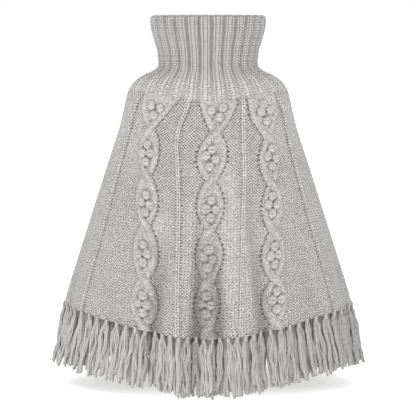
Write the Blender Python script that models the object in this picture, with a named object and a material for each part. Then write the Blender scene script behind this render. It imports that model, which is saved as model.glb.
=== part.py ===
"""Knitted turtleneck poncho for a small child, hollow, as it hangs when it is worn.

Metres, +Z up, front towards -Y.  The origin is the middle of the neck, at the height
where the collar turns out on to the shoulders and the wearer carries the weight.

A course is one ring of stitches.  Each course is an oval whose front and back may hang
lower than its sides.  A place on the cloth is given by two values: its drop, which is
the length of cloth from the collar's rim down the front in millimetres, and its turn,
which is the angle round the oval from the front centre (0) by the wearer's left (90).
"""
import math
import random
from collections import namedtuple
from functools import lru_cache

import bmesh
import bpy
from mathutils import Vector

for old in list(bpy.data.objects):
    bpy.data.objects.remove(old, do_unlink=True)
PARTS = bpy.data.collections.new("knitted_poncho_sweater")
bpy.context.scene.collection.children.link(PARTS)

MM = 0.001
SMALL_TURN = 0.002           # step, in radians, that gives the cloth's direction

# ---------------------------------------------------------------- driving dimensions
SEAM_GAP = 0.3 * MM          # clear width between two pieces where they are sewn
PANEL_WALL = 3.6 * MM        # ground cloth of the front and the back
COLLAR_WALL = 6.8 * MM       # collar, from the top of a rib to its inner face

Course = namedtuple("Course", "drop side_z half_width front back front_fall back_fall")
# Millimetres, from the collar's rim down: cloth length, height at the sides, half the
# width, depth before and behind the middle, and how far front and back hang lower.
COURSES = [Course(*row) for row in (
    (0.0, 79.5, 87.5, 87.5, 87.5, 0.0, 0.0),
    (2.5, 77.5, 90.8, 90.8, 90.8, 0.0, 0.0),
    (8.0, 72.0, 92.3, 92.3, 92.3, 0.0, 0.0),
    (24.0, 56.5, 90.3, 90.3, 90.3, 0.0, 0.0),
    (40.0, 41.0, 86.0, 86.0, 86.0, 0.0, 0.0),
    (56.0, 25.0, 81.3, 81.3, 81.3, 0.0, 0.0),
    (72.0, 9.0, 79.3, 79.3, 79.3, 0.0, 0.0),
    (82.0, 0.0, 79.6, 79.3, 79.5, 1.0, 0.5),
    (91.0, -6.9, 86.3, 80.0, 81.5, 3.5, 2.0),
    (105.0, -14.7, 103.5, 82.0, 85.5, 9.5, 6.0),
    (118.0, -22.8, 115.6, 84.3, 90.0, 14.0, 9.0),
    (127.0, -30.5, 122.5, 86.3, 93.5, 15.5, 10.0),
    (135.0, -38.5, 126.5, 88.3, 96.5, 15.5, 10.0),
    (147.0, -50.0, 130.2, 91.5, 100.5, 15.5, 10.0),
    (167.0, -70.0, 134.3, 97.0, 107.0, 16.0, 10.0),
    (200.0, -102.0, 142.5, 105.0, 115.0, 17.0, 11.5),
    (266.0, -166.0, 163.5, 120.5, 128.0, 20.0, 14.5),
    (364.0, -261.0, 194.0, 141.5, 143.0, 26.5, 20.5),
    (462.0, -356.5, 224.5, 160.0, 155.0, 32.0, 26.0),
    (487.0, -380.5, 230.5, 164.0, 158.0, 34.0, 27.5),
    (600.0, -492.0, 252.0, 180.0, 172.0, 36.0, 29.5),
)]
FALL_POWER = 4               # how closely the fall gathers at the front and back centre
YOKE_EDGE = 135.0            # drop where the ribbing ends and the panels begin
HEM = 487.0                  # drop of the hem

# Collar: two-by-two rib
RIB_COUNT = 27
RIB_FURROW_AT = 4.0          # turn of the furrow next to the front centre, degrees
RIB_SHARE = 0.60             # ridge's share of one repeat, at its top
RIB_DEPTH = 3.4 * MM
RIB_EDGE_DEPTH = 0.5 * MM    # what is left of the furrows where the ribbing ends
RIB_FADE = 22.0              # drop over which they shallow out
THINNING_SPAN = 40.0         # drop above the yoke's edge where the wall thins to a panel's
LEVEL_SPAN = 16.0            # drop above the yoke's edge where the cut turns level
# Drops of the collar's rows of points, but for its last
COLLAR_DROPS = (0.0, 2.5, 8.0, 27.0, 46.0, 64.0, 77.0, 86.0, 95.0, 105.0, 115.0, 125.0)

# Panels: plain columns of points, and cables of two strands that cross and part round
# clusters of bobbles
COLUMN_STEP = 11.0 * MM      # widest space between two plain columns at the hem
CABLE_REPEAT = 77.0          # cloth length from one crossing to the next
FIRST_CROSSING = 188.5       # drop of the first crossing
CLUSTERS = 5                 # clusters of bobbles on each cable
ROWS_PER_REPEAT = 12         # rows of points on the outer face, in one repeat
PLAIN_ROW = 6                # rows of the outer face to one row of a plain part
STRAND_HALF_WIDTH = 5.6 * MM
STRAND_HEIGHT = 4.2 * MM
STRAND_SPREAD = 15.8 * MM    # middle of a strand to the cable's middle, at the widest
STRAND_PINCH = 2.6 * MM      # the same at a crossing
STRAND_FLARE = 24.0 * MM     # the same at the ribbing, where the strands open
STRAND_BOW = 0.85            # under 1, the strands bow out more roundly
INNER_SHARE = 0.4            # least share of the spread where a strand's inner foot lies
CABLE_MARGIN = 24.0 * MM     # plain columns that frame a cable
BOBBLE_RADIUS = 6.0 * MM
BOBBLE_HEIGHT = 7.4 * MM
BOBBLE_SIDE = 5.4 * MM       # middle of a paired bobble to the cable's middle
TOP_BOBBLE_SIDE = 8.4 * MM   # the same in the open cluster under the ribbing
BOBBLE_STEP = 12.8           # cloth length from the pair to the bobble above or below

# Raised columns of knit stitch
LINE_HALF_WIDTH = 3.0 * MM
LINE_HEIGHT = 1.3 * MM

Wale = namedtuple("Wale", "name kind top middle hem")
# Turn in degrees, at the yoke's edge, halfway down and at the hem.
FRONT_WALES = [Wale(*row) for row in (
    ("line_outer_right", "line", -61.0, -61.0, -60.0),
    ("cable_right", "cable", -40.5, -33.0, -25.5),
    ("line_inner_right", "line", -14.0, -15.0, -11.0),
    ("cable_centre", "cable", 3.6, 1.3, 0.0),
    ("line_inner_left", "line", 23.0, 17.5, 11.5),
    ("cable_left", "cable", 41.0, 35.0, 27.0),
    ("line_outer_left", "line", 61.0, 61.0, 61.0),
)]
BACK_WALES = [Wale(*row) for row in (
    ("back_line_outer_left", "line", 119.0, 119.0, 120.0),
    ("back_cable_left", "cable", 139.5, 146.0, 153.5),
    ("back_line_inner_left", "line", 163.0, 164.0, 168.5),
    ("back_cable_centre", "cable", 180.0, 180.0, 180.0),
    ("back_line_inner_right", "line", 197.0, 196.0, 191.5),
    ("back_cable_right", "cable", 220.5, 214.0, 206.5),
    ("back_line_outer_right", "line", 241.0, 241.0, 240.0),
)]

Fold = namedtuple("Fold", "turn half_width depth start")
# Hanging folds: turn and half width in degrees, how far the cloth stands out (+) or in
# (-) at the hem in millimetres, and the drop where the fold begins.
FOLDS = [Fold(*row) for row in (
    (-20.0, 5.5, -11.0, 270.0),
    (-11.5, 4.5, 5.0, 250.0),
    (-4.6, 4.2, -13.0, 225.0),
    (4.3, 3.8, -9.0, 240.0),
    (11.5, 5.5, 5.0, 240.0),
    (21.0, 5.0, -11.0, 215.0),
    (45.0, 9.0, -4.0, 300.0),
    (75.0, 9.0, -5.0, 300.0),
    (-45.0, 10.0, 4.0, 300.0),
    (-75.0, 9.0, -5.0, 320.0),
    (112.0, 9.0, -6.0, 300.0),
    (132.0, 8.0, 4.0, 260.0),
    (148.0, 6.0, -9.0, 240.0),
    (160.5, 5.5, 6.0, 250.0),
    (171.5, 5.0, -9.0, 230.0),
    (188.5, 5.0, -11.0, 240.0),
    (199.0, 5.5, 6.0, 260.0),
    (211.5, 6.0, -8.0, 230.0),
    (228.0, 8.0, 4.0, 270.0),
    (247.0, 9.0, -6.0, 310.0),
)]

# Fringe
TASSELS_PER_PANEL = 42
LOCKS_PER_TASSEL = 2
STRIP_DEPTH = 5.0            # height of the knotted strip under the hem
STRIP_WALL = 4.6 * MM
LOCK_LENGTH = 92.0
LOCK_MIDDLE = 0.75           # share of its length where a lock is fullest
LOCK_WIDTH = 5.4 * MM
LOCK_THICKNESS = 5.6 * MM
LOCK_SWAY = 1.7 * MM         # how far a lock's tip may stray sideways
LOCK_PUSH = 3.0 * MM         # how far it may stray in or out
LOCK_TRIM = (0.9, 1.05)      # shortest and longest lock, as shares of its length
FRINGE_REACH = 80.0          # drop below the hem that gives the locks their direction
FRINGE_SEED = 7

WOOL = (0.46, 0.455, 0.445, 1.0)
FRINGE_WOOL = (0.40, 0.395, 0.385, 1.0)

# ------------------------------------------------------------------- form of the cloth
@lru_cache(maxsize=None)
def course_at(drop):
    """Course at any drop: a smooth curve through the table's rows."""
    last = len(COURSES) - 2
    index = next((i for i in range(last + 1) if drop <= COURSES[i + 1].drop), last)
    low, high = COURSES[index], COURSES[index + 1]
    before = COURSES[max(index - 1, 0)]
    after = COURSES[min(index + 2, last + 1)]
    span = high.drop - low.drop
    share = (drop - low.drop) / span
    values = []
    for b, l, h, a in zip(before, low, high, after):
        slope_low = (h - b) / (high.drop - before.drop) * span
        slope_high = (a - l) / (after.drop - low.drop) * span
        s2, s3 = share * share, share ** 3
        values.append((2 * s3 - 3 * s2 + 1) * l + (s3 - 2 * s2 + share) * slope_low
                      + (3 * s2 - 2 * s3) * h + (s3 - s2) * slope_high)
    return Course(*values)


def ease(share):
    """Smooth step from 0 to 1."""
    share = min(max(share, 0.0), 1.0)
    return share * share * (3 - 2 * share)


def fold_offset(turn, drop):
    """How far the hanging folds push the cloth out, in metres."""
    degrees = math.degrees(turn)
    total = 0.0
    for fold in FOLDS:
        away = abs((degrees - fold.turn + 180.0) % 360.0 - 180.0) / fold.half_width
        if away < 1.0:
            bell = 0.5 + 0.5 * math.cos(math.pi * away)
            total += fold.depth * bell * ease((drop - fold.start) / (HEM - fold.start))
    return total * MM


def oval_point(turn, drop):
    """Point on the cloth before its folds."""
    ring = course_at(drop)
    along = math.cos(turn)
    depth, fall = (ring.front, ring.front_fall) if along > 0 else (ring.back, ring.back_fall)
    height = ring.side_z - fall * along ** FALL_POWER
    return Vector((ring.half_width * math.sin(turn), -depth * along, height)) * MM


def across_at(point_at, turn, drop):
    """Short step across the cloth, from a function that gives its points."""
    return point_at(turn + SMALL_TURN, drop) - point_at(turn - SMALL_TURN, drop)


def cloth_point(turn, drop):
    """Point on the cloth with its folds, which push it straight out from the oval."""
    across = across_at(oval_point, turn, drop)
    outward = Vector((across.y, -across.x, 0.0)).normalized()
    return oval_point(turn, drop) + outward * fold_offset(turn, drop)


def outward_level(turn, drop):
    """Level direction out of the folded cloth."""
    across = across_at(cloth_point, turn, drop)
    return Vector((across.y, -across.x, 0.0)).normalized()


def outward_true(turn, drop):
    """Direction square to the yoke's cloth, which turns level at its lower edge."""
    down = oval_point(turn, drop + 1.0) - oval_point(turn, max(drop - 1.0, 0.0))
    square = down.cross(across_at(oval_point, turn, drop)).normalized()
    square.z *= 1.0 - ease((drop - YOKE_EDGE) / LEVEL_SPAN + 1.0)
    return square.normalized()


def even_turn(turn, drop):
    """Turn on this course for an even share of its length, from the turn on a circle."""
    ring = course_at(drop)
    depth = ring.front if math.cos(turn) > 0 else ring.back
    wide, deep = ring.half_width ** 2, depth ** 2
    return turn - (wide - deep) / (wide + deep) / 4 * math.sin(2 * turn)


def turn_per_metre(turn, drop):
    """Turn, in radians, that one metre of cloth would take up at this place."""
    return 2 * SMALL_TURN / across_at(oval_point, turn, drop).length


# -------------------------------------------------------------------- relief of the knit
def strand_spread(drop):
    """Middle of a cable's strand to the middle of the cable."""
    phase = (drop - FIRST_CROSSING) / CABLE_REPEAT
    widest = STRAND_FLARE if phase < 0 else STRAND_SPREAD
    reach = min(abs(phase), 0.5) if phase < 0 else abs(phase - round(phase))
    return STRAND_PINCH + (widest - STRAND_PINCH) * math.sin(math.pi * reach) ** STRAND_BOW


def strand_height(away):
    """Height of a round strand, at a distance from its middle."""
    share = min(abs(away) / STRAND_HALF_WIDTH, 1.0)
    return STRAND_HEIGHT * math.sqrt(1.0 - share * share)


def cluster_bobbles():
    """Bobbles of one cable, as distance from its middle and drop."""
    bobbles = []
    for cluster in range(CLUSTERS):
        pair = FIRST_CROSSING + (cluster - 0.5) * CABLE_REPEAT
        side = TOP_BOBBLE_SIDE if cluster == 0 else BOBBLE_SIDE
        bobbles += [(-side, pair), (side, pair), (0.0, pair + BOBBLE_STEP)]
        if cluster > 0:
            bobbles.append((0.0, pair - BOBBLE_STEP))
    return bobbles


BOBBLES = cluster_bobbles()


def cable_relief(across, drop):
    """Height of a cable over the ground, at a distance from its middle."""
    spread = strand_spread(drop)
    height = max(strand_height(across - spread), strand_height(across + spread))
    for side, centre in BOBBLES:
        away = math.hypot(across - side, (drop - centre) * MM) / BOBBLE_RADIUS
        if away < 1.0:
            height = max(height, BOBBLE_HEIGHT * (1.0 - away * away))
    return height


def cable_columns(drop):
    """Distances from a cable's middle where its columns of points run."""
    spread = strand_spread(drop)
    inner = max(spread - STRAND_HALF_WIDTH, INNER_SHARE * spread)
    half = [0.5 * inner, inner, spread, spread + STRAND_HALF_WIDTH]
    return [-value for value in reversed(half)] + [0.0] + half


def wale_turn(wale, drop):
    """Turn of a cable or line at this drop, in radians."""
    share = (drop - YOKE_EDGE) / (HEM - YOKE_EDGE)
    bend = 2 * share * (1 - share)
    middle = 2 * wale.middle - 0.5 * (wale.top + wale.hem)
    value = wale.top * (1 - share) ** 2 + middle * bend + wale.hem * share * share
    return math.radians(value)


# ------------------------------------------------------------------------- wall builder
def build_wall(name, columns, rows, coarse, outer, inner, closed, material):
    """One closed wall between a fine outer face and a plain inner one.

    columns holds a pair for each column of points, whether it is fine and whether the
    inner face has it too.  A fine column has a point on every row, another only on the
    coarse rows.  outer and inner give the point at a column and row.
    """
    mesh = bmesh.new()
    count = len(columns)
    span = range(count if closed else count - 1)
    outside = [{row: mesh.verts.new(outer(column, rows[row]))
                for row in (range(len(rows)) if fine else coarse)}
               for column, (fine, _) in enumerate(columns)]
    backed = [column for column in range(count) if columns[column][1]]
    inside = {column: {row: mesh.verts.new(inner(column, rows[row])) for row in coarse}
              for column in backed}

    for column in span:
        left, right = outside[column], outside[(column + 1) % count]
        for top, bottom in zip(coarse, coarse[1:]):
            steps = range(top, bottom + 1)
            if len(left) == len(right) == len(rows):
                for row in steps[:-1]:
                    mesh.faces.new((left[row], left[row + 1], right[row + 1], right[row]))
            else:
                down = [left[row] for row in steps if row in left]
                up = [right[row] for row in reversed(steps) if row in right]
                mesh.faces.new(down + up)

    pairs = list(zip(backed, backed[1:]))
    if closed:
        pairs.append((backed[-1], backed[0] + count))
    for first, second in pairs:
        near, far = inside[first], inside[second % count]
        for top, bottom in zip(coarse, coarse[1:]):
            mesh.faces.new((near[top], far[top], far[bottom], near[bottom]))
        for row in (coarse[0], coarse[-1]):
            edge = [outside[column % count][row] for column in range(first, second + 1)]
            mesh.faces.new(edge + [far[row], near[row]])
    if not closed:
        for column in (0, count - 1):
            for top, bottom in zip(coarse, coarse[1:]):
                down = [outside[column][row] for row in range(top, bottom + 1)
                        if row in outside[column]]
                mesh.faces.new(down + [inside[column][bottom], inside[column][top]])
    return finish_mesh(name, mesh, material)


def finish_mesh(name, mesh, material):
    """Triangulate a mesh, face it outward and put it in the scene as one object."""
    bmesh.ops.recalc_face_normals(mesh, faces=mesh.faces)
    bmesh.ops.triangulate(mesh, faces=mesh.faces)
    data = bpy.data.meshes.new(name)
    mesh.to_mesh(data)
    mesh.free()
    data.shade_smooth()
    data.set_sharp_from_angle(angle=math.radians(50))
    data.materials.append(material)
    obj = bpy.data.objects.new(name, data)
    PARTS.objects.link(obj)
    return obj


def wool(name, colour):
    """Matt wool."""
    material = bpy.data.materials.new(name)
    material.use_nodes = True
    shader = material.node_tree.nodes["Principled BSDF"]
    shader.inputs["Base Color"].default_value = colour
    shader.inputs["Roughness"].default_value = 0.9
    shader.inputs["Metallic"].default_value = 0.0
    return material


# ---------------------------------------------------------------------------- the pieces
def build_collar():
    """Ribbed tube that stands at the neck and spreads into the yoke."""
    half_ridge = 0.5 * RIB_SHARE
    offsets = (0.0, 0.5 - half_ridge, 0.5 + half_ridge)
    columns = [(True, offset == 0.0) for _ in range(RIB_COUNT) for offset in offsets]

    def turn_of(column, drop):
        repeat, part = divmod(column, len(offsets))
        circle = 2 * math.pi * (repeat + offsets[part]) / RIB_COUNT
        return even_turn(circle + math.radians(RIB_FURROW_AT), drop)

    def outer(column, drop):
        turn = turn_of(column, drop)
        fade = ease((YOKE_EDGE - drop) / RIB_FADE)
        depth = RIB_EDGE_DEPTH + (RIB_DEPTH - RIB_EDGE_DEPTH) * fade
        sunk = depth if column % len(offsets) == 0 else 0.0
        return oval_point(turn, drop) - outward_true(turn, drop) * sunk

    def inner(column, drop):
        turn = turn_of(column, drop)
        share = ease((drop - YOKE_EDGE) / THINNING_SPAN + 1.0)
        thin = COLLAR_WALL - (COLLAR_WALL - PANEL_WALL) * share
        return oval_point(turn, drop) - outward_true(turn, drop) * thin

    rows = list(COLLAR_DROPS) + [YOKE_EDGE - 0.5 * SEAM_GAP / MM]
    coarse = list(range(len(rows)))
    del coarse[1:2]
    return build_wall("collar_yoke", columns, rows, coarse, outer, inner, True,
                      wool("wool_collar", WOOL))


def panel_columns(wales, start, end):
    """Columns of a panel from one side seam to the other.

    Each is a function of the drop that gives its turn, with the pair that build_wall
    wants.
    """
    columns = []

    def add(turn_at, fine, backed):
        columns.append((turn_at, fine, backed))

    def plain(first, second):
        width = (second(HEM) - first(HEM)) / turn_per_metre(first(HEM), HEM)
        count = max(int(width / COLUMN_STEP), 1)
        for step in range(1, count):
            share = step / count
            add(lambda d, s=share: first(d) * (1 - s) + second(d) * s, False, True)

    def fixed(value):
        return lambda drop: value

    def beside(wale, index):
        def turn_at(drop):
            turn = wale_turn(wale, drop)
            across = (cable_columns(drop)[index] if wale.kind == "cable"
                      else (index - 1) * LINE_HALF_WIDTH)
            return turn + across * turn_per_metre(turn, drop)
        return turn_at

    def margin(wale, side):
        def turn_at(drop):
            turn = wale_turn(wale, drop)
            foot = strand_spread(drop) + STRAND_HALF_WIDTH
            across = side * max(CABLE_MARGIN, foot + LINE_HALF_WIDTH)
            return turn + across * turn_per_metre(turn, drop)
        return turn_at

    previous = fixed(start)
    add(previous, False, True)
    for wale in wales:
        cable = wale.kind == "cable"
        width = 9 if cable else 3
        first = margin(wale, -1) if cable else beside(wale, 0)
        plain(previous, first)
        if cable:
            add(first, False, True)
        for index in range(width):
            add(beside(wale, index), cable, index in (0, width // 2, width - 1))
        previous = beside(wale, width - 1)
        if cable:
            previous = margin(wale, 1)
            add(previous, False, True)
    plain(previous, fixed(end))
    add(fixed(end), False, True)
    return columns


def panel_relief(wales, turn, drop):
    """Height of cables and lines over the ground cloth."""
    height = 0.0
    for wale in wales:
        away = turn - wale_turn(wale, drop)
        across = away / turn_per_metre(turn, drop)
        if wale.kind == "cable":
            height = max(height, cable_relief(across, drop))
        elif abs(across) < 0.5 * LINE_HALF_WIDTH:
            height = max(height, LINE_HEIGHT)
    return height


def build_panel(name, wales, start, end, material):
    """Front or back: reverse stocking stitch with cables, bobbles and knit lines."""
    columns = panel_columns(wales, start, end)
    step = CABLE_REPEAT / ROWS_PER_REPEAT
    top, bottom = YOKE_EDGE + 0.5 * SEAM_GAP / MM, HEM
    above = int((FIRST_CROSSING - top) / step - 0.4)
    below = int((bottom - FIRST_CROSSING) / step - 0.4)
    rows = [top] + [FIRST_CROSSING + step * row for row in range(-above, below + 1)] + [bottom]
    coarse = [row for row in range(len(rows)) if (row - above - 1) % PLAIN_ROW == 0]
    coarse = [0] + coarse + [len(rows) - 1]

    def outer(column, drop):
        turn = columns[column][0](drop)
        height = panel_relief(wales, turn, drop)
        return cloth_point(turn, drop) + outward_level(turn, drop) * height

    def inner(column, drop):
        turn = columns[column][0](drop)
        return cloth_point(turn, drop) - outward_level(turn, drop) * PANEL_WALL

    return build_wall(name, [pair[1:] for pair in columns], rows, coarse, outer, inner,
                      False, material)


def build_fringe(name, start, end, seed, material):
    """Knotted strip below the hem with tapering locks fused to its underside."""
    chance = random.Random(seed)
    mesh = bmesh.new()
    count = TASSELS_PER_PANEL * LOCKS_PER_TASSEL
    top = HEM + SEAM_GAP / MM
    bottom = top + STRIP_DEPTH
    rings = []
    for cell in range(count + 1):
        circle = start + (end - start) * cell / count
        turn = even_turn(circle, HEM)
        away = outward_level(turn, HEM)
        ring = []
        for drop, share in ((top, 0.5), (bottom, 0.5), (bottom, -0.5), (top, -0.5)):
            middle = cloth_point(turn, drop) - away * 0.5 * PANEL_WALL
            ring.append(mesh.verts.new(middle + away * share * STRIP_WALL))
        rings.append((turn, ring))
    for (_, left), (_, right) in zip(rings, rings[1:]):
        for corner in (0, 2, 3):
            follow = (corner + 1) % 4
            mesh.faces.new((left[corner], left[follow], right[follow], right[corner]))
    mesh.faces.new(rings[0][1])
    mesh.faces.new(rings[-1][1])

    for cell, ((first, left), (second, right)) in enumerate(zip(rings, rings[1:])):
        turn = 0.5 * (first + second)
        root = [left[1], right[1], right[2], left[2]]
        centre = sum((vert.co for vert in root), Vector()) / 4
        away = outward_level(turn, HEM)
        along = Vector((-away.y, away.x, 0.0))
        fall = (oval_point(turn, HEM + FRINGE_REACH) - oval_point(turn, HEM)).normalized()
        length = (LOCK_LENGTH - STRIP_DEPTH) * MM * chance.uniform(*LOCK_TRIM)
        lean = along * chance.uniform(-1.0, 1.0) * LOCK_SWAY
        push = away * chance.uniform(-1.0, 1.0) * LOCK_PUSH
        full = centre + fall * length * LOCK_MIDDLE + 0.5 * (lean + push)
        width = along * 0.5 * LOCK_WIDTH
        depth = away * 0.5 * LOCK_THICKNESS
        corners = [mesh.verts.new(full + offset) for offset in
                   (depth - width, depth + width, width - depth, -depth - width)]
        tip = mesh.verts.new(centre + fall * length + lean + push)
        for corner in range(4):
            follow = (corner + 1) % 4
            mesh.faces.new((root[corner], root[follow], corners[follow], corners[corner]))
            mesh.faces.new((corners[corner], corners[follow], tip))
    return finish_mesh(name, mesh, material)


def main():
    """Build the collar, the two panels and their fringes."""
    quarter = math.pi / 2
    inset = 0.5 * SEAM_GAP * turn_per_metre(quarter, 300.0)
    build_collar()
    build_panel("front_panel", FRONT_WALES, -quarter + inset, quarter - inset,
                wool("wool_front", WOOL))
    build_panel("back_panel", BACK_WALES, quarter + inset, 3 * quarter - inset,
                wool("wool_back", WOOL))
    build_fringe("fringe_front", -quarter + inset, quarter - inset, FRINGE_SEED,
                 wool("wool_fringe_front", FRINGE_WOOL))
    build_fringe("fringe_back", quarter + inset, 3 * quarter - inset, FRINGE_SEED + 1,
                 wool("wool_fringe_back", FRINGE_WOOL))


main()
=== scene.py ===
"""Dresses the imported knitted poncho: stitches, cables, bobbles, ribbing and a fringe of yarn.

Metres, +Z up, front towards -Y, the wearer's left towards +X.  A place on the cloth is
its turn, the angle round the body from the front centre, and its drop, the length of
cloth from the collar's rim in millimetres.  Each course of stitches is an oval whose
front and back hang lower than its sides.
"""
from __future__ import annotations

import logging
import math
from dataclasses import dataclass, field, replace
from enum import Enum
from typing import Any, Callable, Dict, Iterator, List, Optional, Tuple, Union

import bpy
import numpy as np
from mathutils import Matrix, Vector


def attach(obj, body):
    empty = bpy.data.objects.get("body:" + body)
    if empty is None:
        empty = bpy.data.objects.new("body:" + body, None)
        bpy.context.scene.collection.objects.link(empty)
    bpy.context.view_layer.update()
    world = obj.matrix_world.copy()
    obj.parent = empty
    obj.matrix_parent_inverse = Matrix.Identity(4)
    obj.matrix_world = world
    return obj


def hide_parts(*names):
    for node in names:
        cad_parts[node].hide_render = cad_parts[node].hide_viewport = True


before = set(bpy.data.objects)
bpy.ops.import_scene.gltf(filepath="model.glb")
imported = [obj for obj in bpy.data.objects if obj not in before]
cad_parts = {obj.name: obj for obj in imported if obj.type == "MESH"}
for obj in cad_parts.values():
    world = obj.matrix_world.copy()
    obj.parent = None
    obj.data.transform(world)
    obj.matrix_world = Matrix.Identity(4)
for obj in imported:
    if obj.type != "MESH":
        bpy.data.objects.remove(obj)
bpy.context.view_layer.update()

LOG = logging.getLogger("poncho")
MM = 0.001
TAU = 2 * math.pi
UP = np.array((0.0, 0.0, 1.0))
SMALL_TURN = 0.002  # radians to either side, for the direction along the cloth
SMALL_DROP = 1.0  # mm up and down, for the direction down the cloth
RAISED = 0.5 * MM  # height above which a place lies on a raised part
TINY = 1e-15
BAKE_MAP = "OFBake"
SHADE = "shade"
# The parts of the painted shade, each from 0 to 1: in creases, between raised parts and in
# fold valleys, in the open rung stitches beside a knit line, in open purl stitches that show
# as dots along a seam, and in pinhole stitches beside a cable.  The finish reads the pinhole
# shade as rung shade under 0, and tight, even stitches as dot shade under 0.
CREASE_SHADE, RUNG_SHADE, DOT_SHADE, PINHOLE_SHADE = range(4)
# Left, right, bottom and top of what the pieces take up of the bake's map, and the strip
# on it that the shell's edges share.
OUTER_WINDOW = (0.0, 1.0, 0.0, 0.8)
INNER_WINDOW = (0.0, 1.0, 0.82, 0.98)
TUBE_WINDOW = (0.0, 1.0, 0.0, 0.98)
EDGE_STRIP = 0.99
EDGE_WIDTH = 0.01

Colour = Tuple[float, float, float]
Array = np.ndarray


# ------------------------------------------------------------------------ shader bench
class Wire:
    """A shader socket that takes part in ordinary expressions."""

    def __init__(self, bench: "Bench", socket: bpy.types.NodeSocket) -> None:
        """Keep the socket and the bench whose tree it belongs to."""
        self.bench = bench
        self.socket = socket

    def __add__(self, other: "Value") -> "Wire":
        """Sum."""
        return self.bench.maths("ADD", self, other)

    def __sub__(self, other: "Value") -> "Wire":
        """Difference."""
        return self.bench.maths("SUBTRACT", self, other)

    def __rsub__(self, other: "Value") -> "Wire":
        """Difference from a number on the left."""
        return self.bench.maths("SUBTRACT", other, self)

    def __mul__(self, other: "Value") -> "Wire":
        """Product."""
        return self.bench.maths("MULTIPLY", self, other)

    def __abs__(self) -> "Wire":
        """Size without its sign."""
        return self.bench.maths("ABSOLUTE", self)

    __radd__ = __add__
    __rmul__ = __mul__


Value = Union[Wire, float]


class Bench:
    """The node tree of one material, with a Principled shader at its end."""

    def __init__(self, name: str) -> None:
        """Start a material.

        Args:
            name: its name.
        """
        self.material = bpy.data.materials.new(name)
        self.material.use_nodes = True
        self.tree = self.material.node_tree
        self.shader = self.tree.nodes["Principled BSDF"]

    def node(self, kind: str, settings: Optional[Dict[str, Any]] = None,
             sockets: Optional[Dict[Union[str, int], Any]] = None,
             output: Union[str, int] = 0) -> Wire:
        """Add a node.

        Args:
            kind: Blender's name for the node's type.
            settings: what is set on the node itself, before its sockets.
            sockets: values or wires for its inputs, by name or number.
            output: the output that is wanted.

        Returns:
            The wire that leaves that output.
        """
        made = self.tree.nodes.new(kind)
        for key, value in (settings or {}).items():
            setattr(made, key, value)
        for key, value in (sockets or {}).items():
            self.feed(made.inputs[key], value)
        return Wire(self, made.outputs[output])

    def feed(self, socket: bpy.types.NodeSocket, value: Any) -> None:
        """Link a wire to a socket, or set the socket's own value.

        Args:
            socket: an input.
            value: the wire or the value.
        """
        if isinstance(value, Wire):
            self.tree.links.new(value.socket, socket)
        else:
            socket.default_value = value

    def maths(self, operation: str, *values: Value) -> Wire:
        """Work on numbers with one Math node."""
        return self.node("ShaderNodeMath", {"operation": operation},
                         dict(enumerate(values)))

    def wave(self, turns: Wire) -> Wire:
        """Cosine of a number of full turns."""
        return self.maths("COSINE", turns * TAU)

    def swell(self, turns: Wire) -> Wire:
        """The same between 0 and 1."""
        return self.wave(turns) * 0.5 + 0.5

    def above_none(self, value: Wire) -> Wire:
        """A number, or 0 where it is less."""
        return self.maths("MAXIMUM", value, 0.0)

    def split(self, vector: Wire) -> Tuple[Wire, Wire, Wire]:
        """Take a vector or colour apart."""
        parts = self.node("ShaderNodeSeparateXYZ", sockets={0: vector}).socket.node.outputs
        return tuple(Wire(self, part) for part in parts)

    def ramp(self, value: Value, low: float, high: float) -> Wire:
        """Smooth step from 0 at low to 1 at high."""
        return self.node("ShaderNodeMapRange", {"interpolation_type": "SMOOTHSTEP"},
                         {"Value": value, "From Min": low, "From Max": high})

    def blend(self, share: Value, first: Any, second: Any) -> Wire:
        """Mix two colours."""
        return self.node("ShaderNodeMix", {"data_type": "RGBA"},
                         {0: share, 6: first, 7: second}, 2)

    def tint(self, colour: Any, amount: Value) -> Wire:
        """Scale a colour by a number."""
        return self.node("ShaderNodeVectorMath", {"operation": "SCALE"},
                         {0: colour, "Scale": amount})

    def attribute(self, name: str) -> Wire:
        """Read what the mesh holds under a name."""
        return self.node("ShaderNodeAttribute", {"attribute_name": name}, output="Vector")

    def place(self) -> Wire:
        """Place on the piece, in metres."""
        return self.node("ShaderNodeTexCoord", output="Object")

    def noise(self, place: Wire, scale: float, detail: float = 2.0,
              output: str = "Fac") -> Wire:
        """Cloudy noise with features about 1 / scale metres wide."""
        return self.node("ShaderNodeTexNoise", sockets={
            "Vector": place, "Scale": scale, "Detail": detail}, output=output)


def opaque(colour: Colour) -> Tuple[float, float, float, float]:
    """A colour with full alpha."""
    return (*colour, 1.0)


# ----------------------------------------------------------------------------- finishes
@dataclass(frozen=True)
class WoolFinish:
    """What the cloth and the loose yarn share: light wool, and a deep tone for painted shade.
    """

    name: str
    light: Colour
    # the colour of the painted shade
    deep: Colour = (0.1, 0.098, 0.094)
    bump_depth: float = 1.3 * MM
    roughness: float = 0.92
    specular: float = 0.2
    sheen: float = 0.18
    sheen_roughness: float = 0.6

    def finish(self, bench: Bench, painted_shade: Wire, tone: Wire,
               height: Wire) -> bpy.types.Material:
        """Feed the shader.

        Args:
            bench: the material's bench.
            painted_shade: painted shade, from 0 for the light tone to 1 for the deep one.
            tone: what the colour is scaled by.
            height: the relief, as a share of the bump's depth.

        Returns:
            The material.
        """
        colour = bench.blend(painted_shade, opaque(self.light), opaque(self.deep))
        inputs = bench.shader.inputs
        bench.feed(inputs["Base Color"], bench.tint(colour, tone))
        bench.feed(inputs["Normal"], bench.node("ShaderNodeBump", sockets={
            "Strength": 1.0, "Distance": self.bump_depth, "Height": height}))
        inputs["Roughness"].default_value = self.roughness
        inputs["Specular IOR Level"].default_value = self.specular
        inputs["Sheen Weight"].default_value = self.sheen
        inputs["Sheen Roughness"].default_value = self.sheen_roughness
        return bench.material


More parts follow.
